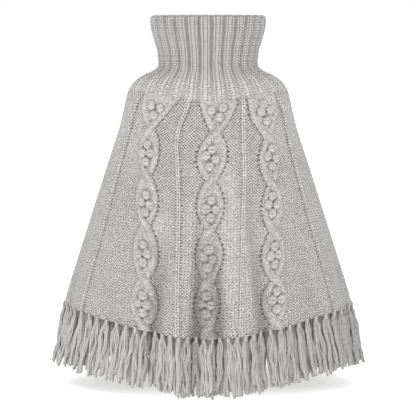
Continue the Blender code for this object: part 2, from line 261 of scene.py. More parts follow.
@dataclass(frozen=True)
class KnitFinish(WoolFinish):
    """Knitted wool: V-shaped stitches on raised parts, purl bumps on the ground.

    Depths and holes are painted shade in the hollows between stitches, as shares of the
    way from the light to the deep tone.  A pair is the span of a smooth step.
    """

    wander: float = 0.17
    hem_wander: float = 0.26
    wander_scale: float = 150.0
    wander_detail: float = 1.0
    stray: float = 0.3
    row_share: float = 0.25
    # painted shade in the holes between purl stitches and between knit stitches
    purl_shade: float = 1.8
    knit_shade: float = 0.85
    knit_span: Tuple[float, float] = (0.0, 0.4)
    hole_shade_span: Tuple[float, float] = (0.05, 0.62)
    leg_width: float = 0.55
    leg_lag: float = 0.55
    leg_floor: float = 0.35
    rung_height: float = 0.5
    soft_middle: float = 0.5
    soft_span: Tuple[float, float] = (0.5, 0.2)
    soft_calm: float = 0.6
    soft_loss: float = 0.2
    # painted shade in the open stitches beside the knit lines and the cables
    pit_shade_depth: float = 1.3
    pit_shade_loss: float = 0.6
    pit_change: float = 0.25
    pit_span: Tuple[float, float] = (0.0, 0.55)
    wide_dots: float = 0.56
    wide_span: Tuple[float, float] = (0.1, 0.5)
    open_span: Tuple[float, float] = (0.0, 0.4)
    # painted shade: the wool is darker towards the hem
    hem_shade_tone: float = 0.97
    # painted highlight on the raised legs of the knit lines
    leg_highlight: float = 0.12
    plain_span: Tuple[float, float] = (0.6, 1.0)
    sharp_span: Tuple[float, float] = (-0.27, -0.1)
    speckle: float = 0.75
    speckle_scale: float = 500.0
    speckle_detail: float = 1.0
    speckle_rise: float = 0.5
    cloud: float = 0.16
    cloud_scale: float = 35.0

    def places(self, bench: Bench, sharp: Wire) -> Tuple[Wire, Wire, Wire, Wire]:
        """Columns and rows of stitches that wander a little.

        Args:
            bench: the material's bench.
            sharp: 0 where stitches are felted towards the hem, 1 where they are crisp.

        Returns:
            The count of columns, the count of rows, how far the knit side faces out,
            and a chance number for each half stitch.
        """
        wale, course, knit = bench.split(bench.attribute("stitch"))
        drift = bench.noise(bench.place(), self.wander_scale, self.wander_detail, "Color")
        aside, along, _ = bench.split(drift)
        wander = 2 * (self.hem_wander + (self.wander - self.hem_wander) * sharp)
        wale = wale + (aside - 0.5) * wander
        course = course + (along - 0.5) * wander
        cell = bench.node("ShaderNodeCombineXYZ", sockets={
            0: bench.maths("FLOOR", wale * 2.0), 1: bench.maths("FLOOR", course * 2.0)})
        stray = bench.node("ShaderNodeTexWhiteNoise", sockets={"Vector": cell})
        return wale, course, knit, stray

    def pit_shade(self, bench: Bench, course: Wire, rung_shades: Wire) -> Wire:
        """Painted shade in holes a course apart along the knit lines, and wider apart along the
        cables.

        Args:
            bench: the material's bench.
            course: the count of rows.
            rung_shades: painted shade of the open stitches, over 0 by a line and under 0 by a
                cable.

        Returns:
            How much painted shade each place takes, from 0 to 1.
        """
        every_other = bench.wave(course * 0.5 + 0.25)
        near_lines = bench.above_none(rung_shades) * (
            (1.0 - self.pit_change) + self.pit_change * every_other)
        near_cables = bench.above_none(rung_shades * -1.0)
        wide = bench.swell(course * self.wide_dots)
        return ((1.0 - bench.ramp(bench.swell(course), *self.pit_span)) * near_lines
                + (1.0 - bench.ramp(wide, *self.wide_span)) * near_cables)

    def stitches(self, bench: Bench, sharp: Wire) -> Tuple[Wire, Wire, Wire]:
        """Relief of the stitches.

        Args:
            bench: the material's bench.
            sharp: 0 where stitches are felted towards the hem, 1 where they are crisp.

        Returns:
            The height from 0 to 1, the painted shade in the holes between stitches and in
            creases, and the tone of the wool.
        """
        wale, course, knit, stray = self.places(bench, sharp)
        crease_shade, rung_shades, dot_shades = bench.split(bench.attribute(SHADE))
        rows = (1.0 - sharp) * self.row_share
        purl = 0.5 + 0.5 * bench.wave(course) * (
            rows + (1.0 - rows) * bench.wave(wale))
        side = abs(bench.maths("FRACT", wale) - 0.5) * 2.0
        leg = bench.ramp(side, 0.0, self.leg_width)
        slant = bench.swell(course + side * self.leg_lag)
        plain = (leg * (self.leg_floor + (1.0 - self.leg_floor) * slant)
                 + (1.0 - leg) * bench.swell(course) * self.rung_height)

        over = bench.ramp(knit, *self.knit_span)
        height = purl + (plain - purl) * over
        soft = bench.ramp(abs(knit - self.soft_middle), *self.soft_span)
        smooth = 1.0 - self.soft_calm * soft
        # painted shade in the holes between stitches, lighter where the stitches are calm
        depth = self.purl_shade * (1.0 - bench.above_none(dot_shades * -1.0))
        depth = (depth + (knit * self.knit_shade - depth) * over) * smooth
        hole_shade = (1.0 - bench.ramp(height, *self.hole_shade_span)) * depth
        pit_shade = self.pit_shade(bench, course, rung_shades)
        # painted shade in the open purl stitches along the seams
        open_purl_shade = (1.0 - bench.ramp(height, *self.open_span)) * bench.above_none(dot_shades)
        hole_shade = hole_shade + pit_shade * self.pit_shade_depth + open_purl_shade
        painted_shade = 1.0 - (1.0 - bench.maths("MINIMUM", hole_shade, 1.0)) * (1.0 - crease_shade)
        # painted shade makes the tone darker towards the hem; each half stitch also varies at
        # random
        tone = self.hem_shade_tone + (1.0 - self.hem_shade_tone) * sharp + (stray - 0.5) * self.stray
        # painted highlight on the raised legs of the knit lines
        leg_highlight_tone = self.leg_highlight * bench.ramp(knit, *self.plain_span) * leg
        # the painted shade of the open holes also darkens the tone
        tone = tone * (1.0 - self.soft_loss * soft + leg_highlight_tone) * (1.0 - self.pit_shade_loss * pit_shade)
        return height * smooth, painted_shade, tone

    def material(self) -> bpy.types.Material:
        """Build the material.

        Returns:
            The material.
        """
        bench = Bench(self.name)
        place = bench.place()
        sharp = bench.ramp(bench.split(place)[2], *self.sharp_span)
        height, painted_shade, tone = self.stitches(bench, sharp)
        fibre = bench.noise(place, self.speckle_scale, self.speckle_detail)
        cloud = bench.noise(place, self.cloud_scale)
        tone = tone + (fibre - 0.5) * (2 * self.speckle) + (cloud - 0.5) * self.cloud
        return self.finish(bench, painted_shade, tone, height + fibre * self.speckle_rise)


@dataclass(frozen=True)
class YarnFinish(WoolFinish):
    """Loose twisted yarn: plies that wind round each strand, painted shade between them, stray
    fibres.
    """

    bump_depth: float = 0.5 * MM
    plies: int = 3
    groove_shade: float = 0.14
    groove_width: float = 0.6
    fibre_scale: float = 1300.0
    fibre_detail: float = 3.0
    fibre_tone: float = 0.2
    fibre_rise: float = 0.4
    least_tone: float = 0.8
    strand_tone: float = 0.14

    def material(self) -> bpy.types.Material:
        """Build the material.

        Returns:
            The material.
        """
        bench = Bench(self.name)
        around, along, shade = bench.split(bench.attribute("strand"))
        fibre = bench.noise(bench.place(), self.fibre_scale, self.fibre_detail)
        ply = bench.swell(around * self.plies + along)
        groove = 1.0 - bench.ramp(ply, 0.0, self.groove_width)
        crease_shade, _, _ = bench.split(bench.attribute(SHADE))
        # painted shade in the grooves between plies, at the tassels' necks and on the strands
        # behind them
        painted_shade = 1.0 - (1.0 - groove * self.groove_shade) * (1.0 - crease_shade)
        tone = self.least_tone + fibre * self.fibre_tone + shade * self.strand_tone
        return self.finish(bench, painted_shade, tone, ply + fibre * self.fibre_rise)


@dataclass(frozen=True)
class FloorFinish:
    """Seamless white studio paper, which glows a little so that it stays white."""

    name: str = "studio_paper"
    shade: float = 0.9
    grain: float = 0.99
    grain_scale: float = 40.0
    roughness: float = 0.9
    # painted light: the paper glows more in front of the garment than behind it, so the
    # garment's shadow shows only behind it
    front_glow: float = 1.0
    back_glow: float = 0.5
    glow_span: Tuple[float, float] = (-0.2, -0.02)

    def material(self) -> bpy.types.Material:
        """Build the material.

        Returns:
            The material.
        """
        bench = Bench(self.name)
        place = bench.place()
        depth = bench.ramp(bench.split(place)[1], *self.glow_span)
        paper = bench.blend(bench.noise(place, self.grain_scale),
                            opaque((self.shade,) * 3),
                            opaque((self.shade * self.grain,) * 3))
        inputs = bench.shader.inputs
        bench.feed(inputs["Base Color"], paper)
        # painted light, brighter in front of the garment than behind it
        bench.feed(inputs["Emission Color"],
                   self.front_glow + (self.back_glow - self.front_glow) * depth)
        inputs["Emission Strength"].default_value = 1.0
        inputs["Roughness"].default_value = self.roughness
        inputs["Specular IOR Level"].default_value = 0.0
        return bench.material


# ------------------------------------------------------------------------ form of cloth
def ease(share: Array) -> Array:
    """Smooth step from 0 to 1."""
    share = np.clip(share, 0.0, 1.0)
    return share * share * (3 - 2 * share)


def unit(vectors: Array) -> Array:
    """Vectors at length 1."""
    return vectors / np.linalg.norm(vectors, axis=-1, keepdims=True)


def curve_through(table: Array, at: Array) -> Array:
    """Smooth curve through a table's rows.

    Args:
        table: rows whose first column rises.
        at: where in the first column the curve is wanted.

    Returns:
        The other columns there.
    """
    last = len(table) - 2
    low_at = np.clip(np.searchsorted(table[1:, 0], at), 0, last)
    before_at, after_at = np.maximum(low_at - 1, 0), np.minimum(low_at + 2, last + 1)
    before, low, high, after = (table[row] for row in
                                (before_at, low_at, low_at + 1, after_at))
    span = (high - low)[..., :1]
    s = (np.asarray(at)[..., None] - low[..., :1]) / span
    rise = (high - before) / (high - before)[..., :1] * span
    leave = (after - low) / (after - low)[..., :1] * span
    found = ((2 * s ** 3 - 3 * s ** 2 + 1) * low + (s ** 3 - 2 * s ** 2 + s) * rise
             + (3 * s ** 2 - 2 * s ** 3) * high + (s ** 3 - s ** 2) * leave)
    return found[..., 1:]


@dataclass(frozen=True)
class Fold:
    """A hanging fold: turn and half width in degrees, depth in mm, and its first drop."""

    turn: float
    half_width: float
    depth: float
    start: float


@dataclass
class Cloth:
    """The form that the garment hangs in."""

    # drop, height at the sides, half width, front and back depth, front and back fall
    courses: Tuple[Tuple[float, ...], ...] = (
        (0.0, 79.5, 87.5, 87.5, 87.5, 0.0, 0.0),
        (2.5, 77.5, 90.8, 90.8, 90.8, 0.0, 0.0),
        (8.0, 72.0, 92.3, 92.3, 92.3, 0.0, 0.0),
        (24.0, 56.5, 90.3, 90.3, 90.3, 0.0, 0.0),
        (40.0, 41.0, 86.0, 86.0, 86.0, 0.0, 0.0),
        (56.0, 25.0, 81.3, 81.3, 81.3, 0.0, 0.0),
        (72.0, 9.0, 79.3, 79.3, 79.3, 0.0, 0.0),
        (82.0, 0.0, 79.6, 79.3, 79.5, 1.0, 0.5),
        (91.0, -6.9, 86.3, 80.0, 81.5, 3.5, 2.0),
        (105.0, -14.7, 103.5, 82.0, 85.5, 9.5, 6.0),
        (118.0, -22.8, 115.6, 84.3, 90.0, 14.0, 9.0),
        (127.0, -30.5, 122.5, 86.3, 93.5, 15.5, 10.0),
        (135.0, -38.5, 126.5, 88.3, 96.5, 15.5, 10.0),
        (147.0, -50.0, 130.2, 91.5, 100.5, 15.5, 10.0),
        (167.0, -70.0, 134.3, 97.0, 107.0, 16.0, 10.0),
        (200.0, -102.0, 142.5, 105.0, 115.0, 17.0, 11.5),
        (266.0, -166.0, 163.5, 120.5, 128.0, 20.0, 14.5),
        (364.0, -261.0, 194.0, 141.5, 143.0, 26.5, 20.5),
        (462.0, -356.5, 224.5, 160.0, 155.0, 32.0, 26.0),
        (487.0, -380.5, 230.5, 164.0, 158.0, 34.0, 27.5),
        (600.0, -492.0, 252.0, 180.0, 172.0, 36.0, 29.5),
    )
    folds: Tuple[Fold, ...] = tuple(Fold(*row) for row in (
        (-21.5, 5.5, -11.0, 270.0), (-12.0, 4.5, 5.0, 250.0), (-4.6, 4.2, -13.0, 225.0),
        (4.3, 3.8, -9.0, 240.0), (11.5, 5.5, 5.0, 240.0), (22.0, 5.0, -11.0, 215.0),
        (45.0, 9.0, -4.0, 300.0), (75.0, 9.0, -5.0, 300.0), (-45.0, 10.0, 4.0, 300.0),
        (-75.0, 9.0, -5.0, 320.0), (112.0, 9.0, -6.0, 300.0), (132.0, 8.0, 4.0, 260.0),
        (148.0, 6.0, -9.0, 240.0), (160.5, 5.5, 6.0, 250.0), (171.5, 5.0, -9.0, 230.0),
        (188.5, 5.0, -11.0, 240.0), (199.0, 5.5, 6.0, 260.0), (211.5, 6.0, -8.0, 230.0),
        (228.0, 8.0, 4.0, 270.0), (247.0, 9.0, -6.0, 310.0),
    ))
    fall_power: int = 4
    yoke_edge: float = 135.0
    hem: float = 487.0
    level_span: float = 16.0
    deep_fold: float = 13.0

    def __post_init__(self) -> None:
        """Keep the courses as an array."""
        self.table = np.array(self.courses)

    def course(self, drop: Array) -> Array:
        """Side height, half width, both depths and both falls at a drop, all in mm."""
        return curve_through(self.table, drop)

    def oval(self, turn: Array, drop: Array) -> Array:
        """Points on the cloth before its folds.

        Args:
            turn: turn of each point, in radians.
            drop: drop of each point, in mm.

        Returns:
            The points.
        """
        turn, drop = np.broadcast_arrays(turn, drop)
        ring = self.course(drop)
        along = np.cos(turn)
        front = along > 0
        depth = np.where(front, ring[..., 2], ring[..., 3])
        fall = np.where(front, ring[..., 4], ring[..., 5])
        height = ring[..., 0] - fall * along ** self.fall_power
        return np.stack((ring[..., 1] * np.sin(turn), -depth * along, height), -1) * MM

    @staticmethod
    def level_out(maker: Callable[[Array, Array], Array], turn: Array,
                  drop: Array) -> Array:
        """Level direction out of a surface.

        Args:
            maker: gives the surface's points from their turns and drops.
            turn: turn of each point.
            drop: drop of each point.

        Returns:
            The directions.
        """
        across = maker(turn + SMALL_TURN, drop) - maker(turn - SMALL_TURN, drop)
        return unit(np.stack((across[..., 1], -across[..., 0],
                              np.zeros(across.shape[:-1])), -1))

    def fold_offset(self, turn: Array, drop: Array) -> Array:
        """How far the hanging folds push the cloth out.

        Args:
            turn: turn of each point.
            drop: drop of each point.

        Returns:
            Metres, under 0 in a valley.
        """
        degrees, total = np.degrees(turn), 0.0
        for fold in self.folds:
            away = np.abs((degrees - fold.turn + 180.0) % 360.0 - 180.0) / fold.half_width
            bell = 0.5 + 0.5 * np.cos(np.pi * np.minimum(away, 1.0))
            total = total + fold.depth * bell * ease((drop - fold.start)
                                                     / (self.hem - fold.start))
        return total * MM

    def valley(self, turn: Array, drop: Array) -> Array:
        """How deep in a fold the cloth lies, from 0 to 1."""
        return np.clip(-self.fold_offset(turn, drop) / (self.deep_fold * MM), 0.0, 1.0)

    def point(self, turn: Array, drop: Array) -> Array:
        """Points on the folded cloth."""
        out = self.level_out(self.oval, turn, drop)
        return self.oval(turn, drop) + out * self.fold_offset(turn, drop)[..., None]

    def outward(self, turn: Array, drop: Array) -> Array:
        """Level direction out of the folded cloth."""
        return self.level_out(self.point, turn, drop)

    def square_out(self, turn: Array, drop: Array) -> Array:
        """Direction square to the yoke's cloth, which turns level at its lower edge.

        Args:
            turn: turn of each point.
            drop: drop of each point.

        Returns:
            The directions.
        """
        down = (self.oval(turn, drop + SMALL_DROP)
                - self.oval(turn, np.maximum(drop - SMALL_DROP, 0.0)))
        across = self.oval(turn + SMALL_TURN, drop) - self.oval(turn - SMALL_TURN, drop)
        square = unit(np.cross(down, across))
        square[..., 2] *= 1.0 - ease((drop - self.yoke_edge) / self.level_span + 1.0)
        return unit(square)

    def even_turn(self, turn: Array, drop: Array) -> Array:
        """Turn for an even share of a course's length.

        Args:
            turn: the same share's turn on a circle.
            drop: drop of the course.

        Returns:
            The turn on the course's oval.
        """
        ring = self.course(drop)
        deep = np.where(np.cos(turn) > 0, ring[..., 2], ring[..., 3]) ** 2
        wide = ring[..., 1] ** 2
        return turn - (wide - deep) / (wide + deep) / 4 * np.sin(2 * turn)

    def turn_per_metre(self, turn: Array, drop: Array) -> Array:
        """Turn that one metre of cloth takes up, in radians."""
        step = self.oval(turn + SMALL_TURN, drop) - self.oval(turn - SMALL_TURN, drop)
        return 2 * SMALL_TURN / np.linalg.norm(step, axis=-1)


CLOTH = Cloth()


# ------------------------------------------------------------------------- mesh builder
@dataclass
class Patch:
    """A grid of points with what each holds for its finish."""

    points: Array
    stitch: Array
    shade: Array

    def normals(self, closed: bool, flip: bool) -> Array:
        """Directions square to the grid, by its neighbours' places.

        Args:
            closed: whether its last column meets its first.
            flip: whether its faces are turned over.

        Returns:
            One for each point.
        """
        grid = self.points
        if closed:
            grid = np.concatenate((grid[:, -1:], grid, grid[:, :1]), 1)
        down = np.gradient(grid, axis=0)
        across = np.gradient(grid, axis=1)
        found = unit(np.cross(down, across) + TINY)
        found = found[:, 1:-1] if closed else found
        return -found if flip else found


class MeshMaker:
    """Collects points and faces, and makes one object of them."""

    def __init__(self) -> None:
        """Start with nothing."""
        self.blocks: Dict[str, List[Array]] = {
            key: [] for key in ("points", "data", SHADE, "normals")}
        self.corners: List[Array] = []
        self.sizes: List[Array] = []
        self.maps: List[Array] = []
        self.count = 0

    def add_points(self, points: Array, data: Array, shade: Array,
                   normals: Array) -> int:
        """Add points.

        Args:
            points: their places.
            data: what the finish reads at each.
            shade: the shade at each.
            normals: the direction out at each.

        Returns:
            The number of the first.
        """
        start = self.count
        for key, block in (("points", points), ("data", data), (SHADE, shade),
                           ("normals", normals)):
            self.blocks[key].append(np.asarray(block, float).reshape(-1, 3))
        self.count += len(self.blocks["points"][-1])
        return start

    def add_faces(self, faces: Array, places: Array) -> None:
        """Add faces of one size.

        Args:
            faces: the numbers of each face's corners.
            places: a place on the bake's map for each corner.
        """
        self.corners.append(faces.reshape(-1))
        self.sizes.append(np.full(len(faces), faces.shape[1]))
        self.maps.append(places.reshape(-1, 2))

    def build(self, name: str, data_name: str,
              material: bpy.types.Material) -> bpy.types.Object:
        """Make the object.

        Args:
            name: the object's name.
            data_name: name of the attribute that its finish reads.
            material: its material.

        Returns:
            The object, in the scene.
        """
        arrays = {key: np.concatenate(found) for key, found in self.blocks.items()}
        corners, sizes = np.concatenate(self.corners), np.concatenate(self.sizes)
        mesh = bpy.data.meshes.new(name)
        mesh.vertices.add(self.count)
        mesh.vertices.foreach_set("co", arrays["points"].ravel())
        mesh.loops.add(len(corners))
        mesh.loops.foreach_set("vertex_index", corners.astype(np.int32))
        mesh.polygons.add(len(sizes))
        starts = np.concatenate(([0], np.cumsum(sizes)[:-1])).astype(np.int32)
        mesh.polygons.foreach_set("loop_start", starts)
        mesh.update(calc_edges=True)
        mesh.validate()
        mesh.shade_smooth()
        for held_name, key in ((data_name, "data"), (SHADE, SHADE)):
            held = mesh.attributes.new(held_name, "FLOAT_VECTOR", "POINT")
            held.data.foreach_set("vector", arrays[key].ravel())
        layer = mesh.uv_layers.new(name=BAKE_MAP)
        layer.uv.foreach_set("vector", np.concatenate(self.maps).ravel())
        mesh.normals_split_custom_set_from_vertices(arrays["normals"])
        mesh.materials.append(material)
        obj = bpy.data.objects.new(name, mesh)
        bpy.context.scene.collection.objects.link(obj)
        return obj


def grid_cells(rows: int, columns: int) -> Tuple[Array, Array]:
    """Row and column of each cell of a grid."""
    row, column = np.meshgrid(np.arange(rows), np.arange(columns), indexing="ij")
    return row.ravel(), column.ravel()


def grid_corners(rows: int, columns: int, start: int, closed: bool, flip: bool) -> Array:
    """Corners of a grid's square faces.

    Args:
        rows: count of its rows of points.
        columns: count of its columns of points.
        start: number of its first point.
        closed: whether its last column meets its first.
        flip: whether its faces are turned over.

    Returns:
        Four numbers of points for each face.
    """
    row, column = grid_cells(rows - 1, columns if closed else columns - 1)
    after = (column + 1) % columns
    faces = np.stack((row * columns + column, (row + 1) * columns + column,
                      (row + 1) * columns + after, row * columns + after), 1) + start
    return faces[:, ::-1] if flip else faces


def cell_places(across: Array, down: Array) -> Array:
    """Places on the bake's map of a grid's corners.

    Args:
        across: where each column lies on the map.
        down: where each row lies.

    Returns:
        Four places for each face.
    """
    row, column = grid_cells(len(down) - 1, len(across) - 1)
    order = ((row, column), (row + 1, column), (row + 1, column + 1), (row, column + 1))
    return np.stack([np.stack((across[c], down[r]), 1) for r, c in order], 1)


def way_along(grid: Array, axis: int) -> Array:
    """Mean length of a grid from its first row or column to each, in metres."""
    steps = np.linalg.norm(np.diff(grid, axis=axis), axis=-1).mean(1 - axis)
    return np.concatenate(([0.0], np.cumsum(steps)))


def grid_places(patch: Patch, closed: bool, flip: bool, window: Tuple[float, ...]) -> Array:
    """Places on the bake's map for a grid's faces, spaced as the cloth is.

    Args:
        patch: the grid.
        closed: whether its last column meets its first.
        flip: whether its faces are turned over.
        window: left, right, bottom and top of its part of the map.

    Returns:
        Four places for each face.
    """
    grid = patch.points
    if closed:
        grid = np.concatenate((grid, grid[:, :1]), 1)
    across, down = way_along(grid, 1), way_along(grid, 0)
    left, right, bottom, top = window
    found = cell_places(left + (right - left) * across / across[-1],
                        top - (top - bottom) * down / down[-1])
    return found[:, ::-1] if flip else found


def dress(obj: bpy.types.Object, slot: str, *nodes: str) -> None:
    """Let a piece ride on the body and stand for CAD nodes.

    Args:
        obj: the piece.
        slot: not used.
        nodes: the CAD nodes that it stands for.
    """
    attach(obj, "root")
    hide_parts(*nodes)
    LOG.info("%s: %d faces", obj.name, len(obj.data.polygons))


# -------------------------------------------------------------------------- knit relief
class Kind(Enum):
    """What a raised column of the panel is."""

    CABLE = "cable"
    LINE = "line"


class Lean(Enum):
    """Which strand passes over at a cable's crossings."""

    FROM_LEFT = 1
    FROM_RIGHT = -1


@dataclass(frozen=True)
class Mouth:
    """The open top of a cable, above its first crossing.

    Each strand's row holds how far it stands aside at the yoke in mm, the share of the
    way up where it gets there, and the power of its curve.  A bobble's row holds its
    side and drop in mm, and a gap's row these and how deep its painted shade is.
    """

    left: Tuple[float, float, float]
    right: Tuple[float, float, float]
    bobbles: Tuple[Tuple[float, float], ...]
    gap_shades: Tuple[Tuple[float, float, float], ...]

    def place(self, is_left: bool, share: Array) -> Array:
        """Side of a strand in the mouth.

        Args:
            is_left: whether it is the left strand.
            share: share of the way up to the yoke, from the first crossing.

        Returns:
            Metres to the right of the cable's middle.
        """
        aside, knee, power = self.left if is_left else self.right
        way = np.clip(share / knee, 0.0, 1.0) ** power
        return (-1 if is_left else 1) * aside * MM * way


@dataclass(frozen=True)
class Diamond:
    """One opening of a cable, all in mm.

    It has the drop of the crossing over it, half its width, how far its cluster sits
    below its middle and to the right, and how much lower the left bobble of the
    cluster's pair hangs than their middle.
    """

    top: float
    half_width: float
    sink: float
    aside: float
    tilt: float


@dataclass(frozen=True)
class Crossings:
    """The diamonds of a cable, and the drop in mm of the crossing under the last one."""

    diamonds: Tuple[Diamond, ...]
    last: float
    mouth: Mouth
    leans: Tuple[Lean, ...] = (Lean.FROM_LEFT,)
    # painted shade in the pinhole stitches along the left and the right edge
    pinhole_shades: Tuple[float, float] = (0.5, 0.5)

    @property
    def first(self) -> float:
        """Drop of the first crossing."""
        return self.diamonds[0].top

    @property
    def repeat(self) -> float:
        """Mean length between crossings."""
        return (self.last - self.first) / len(self.diamonds)

    def clusters(self) -> Iterator[Tuple[float, float, float]]:
        """Side in metres, drop, and left bobble's extra drop of each diamond's pair.

        Yields:
            The three, from the yoke down.
        """
        tops = [*(diamond.top for diamond in self.diamonds), self.last]
        for diamond, below in zip(self.diamonds, tops[1:]):
            yield (diamond.aside * MM, 0.5 * (diamond.top + below) + diamond.sink,
                   diamond.tilt)

    def phase(self, drop: Array) -> Array:
        """Count of crossings passed.

        Args:
            drop: the drop of each row.

        Returns:
            The count, under 0 above the first crossing.
        """
        tops = np.array([*(diamond.top for diamond in self.diamonds), self.last])
        inside = np.interp(drop, tops, np.arange(len(tops)))
        before = np.minimum(drop - self.first, 0.0) / self.repeat
        return inside + before + np.maximum(drop - self.last, 0.0) / self.repeat


@dataclass(frozen=True)
class Wale:
    """A cable or knit line: its turn in degrees at a few drops, and its crossings."""

    stations: Tuple[Tuple[float, float], ...]
    crossings: Optional[Crossings] = None
    bold: float = 1.0

    @property
    def kind(self) -> Kind:
        """What it is."""
        return Kind.CABLE if self.crossings else Kind.LINE

    def turn(self, drop: Array) -> Array:
        """Turn at a drop, in radians."""
        return np.radians(curve_through(np.array(self.stations), drop)[..., 0])

    def behind(self) -> "Wale":
        """The same wale on the back, seen from behind."""
        return replace(self, stations=tuple((drop, turn + 180.0)
                                            for drop, turn in self.stations))


@dataclass
class Relief:
    """Heights, stitches and painted shade that are gathered over one grid."""

    height: Array
    stitch: Array
    shade: Array

    def lay(self, height: Array, wale: Array, course: Array, mask: Array,
            knit: float = 1.0) -> None:
        """Lay a raised part of knit stitch over what is there, where it stands higher.

        Args:
            height: its height.
            wale: count of its columns.
            course: count of its rows.
            mask: where it is.
            knit: how plain its stitches show, from 0 to 1.
        """
        over = mask & (height > self.height)
        self.height[over] = height[over]
        for index, values in enumerate((wale, course, np.full_like(height, knit))):
            self.stitch[..., index][over] = values[over]

    def darken(self, part: int, amount: Array) -> None:
        """Deepen one part of the painted shade."""
        self.shade[..., part] = np.maximum(self.shade[..., part], amount)

    def crease_shade(self, away: Array, top: float, reach: float, amount: Array) -> None:
        """Paint shade on what lies under the edge of a raised part.

        Args:
            away: distance outside its edge, under 0 inside, in metres.
            top: its height.
            reach: how far the shade goes.
            amount: the darkest shade.
        """
        below = np.clip((top - self.height) / top, 0.0, 1.0)
        near = np.exp(-(np.maximum(away, 0.0) / reach) ** 2
                      - (np.minimum(away, 0.0) / (0.5 * reach)) ** 2)
        self.darken(CREASE_SHADE, amount * near * below)


@dataclass
class CableKnit:
    """Two strands that cross and part round clusters of bobbles."""

    strand_half: float = 5.9 * MM
    strand_power: float = 0.65
    strand_height: float = 2.9 * MM
    steepest: float = 1.2
    bow: float = 0.8
    lift: float = 2.0 * MM
    lift_power: int = 4
    dip: float = 0.5
    crossing_reach: float = 12.0
    strand_course: float = 3.9
    strand_knit: float = 0.55
    # painted shade along the strands' edges and beside their crossings
    strand_edge_shade: float = 0.03
    strand_reach: float = 1.3 * MM
    crossing_shade_amount: float = 0.4
    crossing_shade: float = 1.4 * MM
    # painted shade in the pinhole stitches beside the strands
    pinhole_out: float = 0.9 * MM
    pinhole_reach: float = 1.9 * MM
    pinhole_under: float = 0.4
    cushion: float = 1.2 * MM
    cushion_margin: float = 0.1 * MM
    bobble_radius: float = 7.7 * MM
    bobble_sizes: Tuple[float, float] = (0.94, 1.05)
    bobble_height: float = 5.2 * MM
    bobble_foot: float = 0.6 * MM
    bobble_side: float = 6.9 * MM
    bobble_step: float = 12.8
    bobble_knit: float = 0.5
    bobble_course: float = 3.9
    bobble_over: float = 0.15
    # painted shade round each bobble, most of it below
    bobble_shade: float = 0.8
    bobble_shade_reach: float = 0.9 * MM
    jitter: float = 0.4
    # side and drop in mm from the middle of a cluster's pair, and how deep the painted shade in
    # the gap is
    cluster_gap_shades: Tuple[Tuple[float, float, float], ...] = (
        (0.0, -4.5, 1.0), (0.0, 4.5, 1.0), (-7.2, -9.4, 0.9), (7.2, -9.4, 0.6),
        (-7.4, 9.4, 0.5), (7.2, 9.2, 0.8), (0.0, -21.0, 0.6), (0.0, 21.6, 0.9))
    gap_shade_radius: float = 1.9 * MM
    gap_shade_power: int = 4

    def strands(self, crossings: Crossings, drop: Array) -> Tuple[Array, Array]:
        """Places of the strand that starts at the left and of the other one.

        Args:
            crossings: the cable's crossings.
            drop: the drop of each row.

        Returns:
            Two arrays of sides, in metres.
        """
        phase = crossings.phase(drop)
        spreads = np.array([diamond.half_width for diamond in crossings.diamonds]) * MM
        widest = spreads[np.clip(phase.astype(int), 0, len(spreads) - 1)]
        swing = np.sin(np.pi * np.maximum(phase, 0.0))
        below = widest * np.sign(swing) * np.abs(swing) ** self.bow
        share = np.clip((crossings.first - drop) / (crossings.first - CLOTH.yoke_edge),
                        0.0, 1.0)
        mouth = crossings.mouth
        return (np.where(phase < 0, mouth.place(True, share), below),
                np.where(phase < 0, mouth.place(False, share), -below))

    def bobbles(self, crossings: Crossings,
                chance: np.random.Generator) -> List[Tuple[float, float, float]]:
        """Places of the bobbles on one cable.

        Args:
            crossings: the cable's crossings.
            chance: source of random numbers.

        Returns:
            Side in metres, drop in mm and radius in metres of each.
        """
        spots = [(side * MM, drop) for side, drop in crossings.mouth.bobbles]
        for middle, pair, tilt in crossings.clusters():
            spots += [(middle, pair - self.bobble_step),
                      (middle - self.bobble_side, pair + tilt),
                      (middle + self.bobble_side, pair - tilt),
                      (middle, pair + self.bobble_step)]
        return [(side + chance.normal() * self.jitter * MM,
                 drop + chance.normal() * self.jitter,
                 self.bobble_radius * chance.uniform(*self.bobble_sizes))
                for side, drop in spots]

    def gap_shades(self, crossings: Crossings) -> List[Tuple[float, float, float]]:
        """Places of the painted shade between the bobbles.

        Args:
            crossings: the cable's crossings.

        Returns:
            Side in metres, drop in mm and darkness of each.
        """
        spots = [(side * MM, drop, amount) for side, drop, amount in crossings.mouth.gap_shades]
        for middle, pair, tilt in crossings.clusters():
            spots += [(middle + side * MM, pair + down - np.sign(side) * tilt, amount)
                      for side, down, amount in self.cluster_gap_shades]
        return spots

    def add(self, relief: Relief, wale: Wale, turn: Array, drop: Array,
            chance: np.random.Generator) -> None:
        """Raise one cable on the panel's relief.

        Args:
            relief: the panel's relief.
            wale: the cable.
            turn: turn of each point.
            drop: drop of each point.
            chance: source of random numbers.
        """
        crossings = wale.crossings
        across = (turn - wale.turn(drop)) / CLOTH.turn_per_metre(turn, drop)
        places = self.strands(crossings, drop[:, 0])
        phase = crossings.phase(drop)
        crossing = np.maximum(np.round(phase), 0.0)
        near = np.exp(-((phase - crossing) * crossings.repeat / self.crossing_reach) ** 2)
        leans = np.array([lean.value for lean in crossings.leans])
        lean = leans[np.minimum(crossing.astype(int), len(leans) - 1)]
        first_over = np.where(crossing % 2 == 0, lean, -lean)
        strands = [self.add_strand(relief, across, drop, place, near, sign * first_over > 0)
                   for sign, place in zip((1, -1), places)]
        low, high = (end(*places)[:, None] for end in (np.minimum, np.maximum))
        share = (np.abs(across - 0.5 * (high + low))
                 / (0.5 * (high - low) + self.cushion_margin))
        relief.lay(self.cushion * np.ones_like(share), np.ones_like(share),
                   drop / self.strand_course, share < 1.0, self.strand_knit)
        self.add_bobbles(relief, across, drop, self.bobbles(crossings, chance))
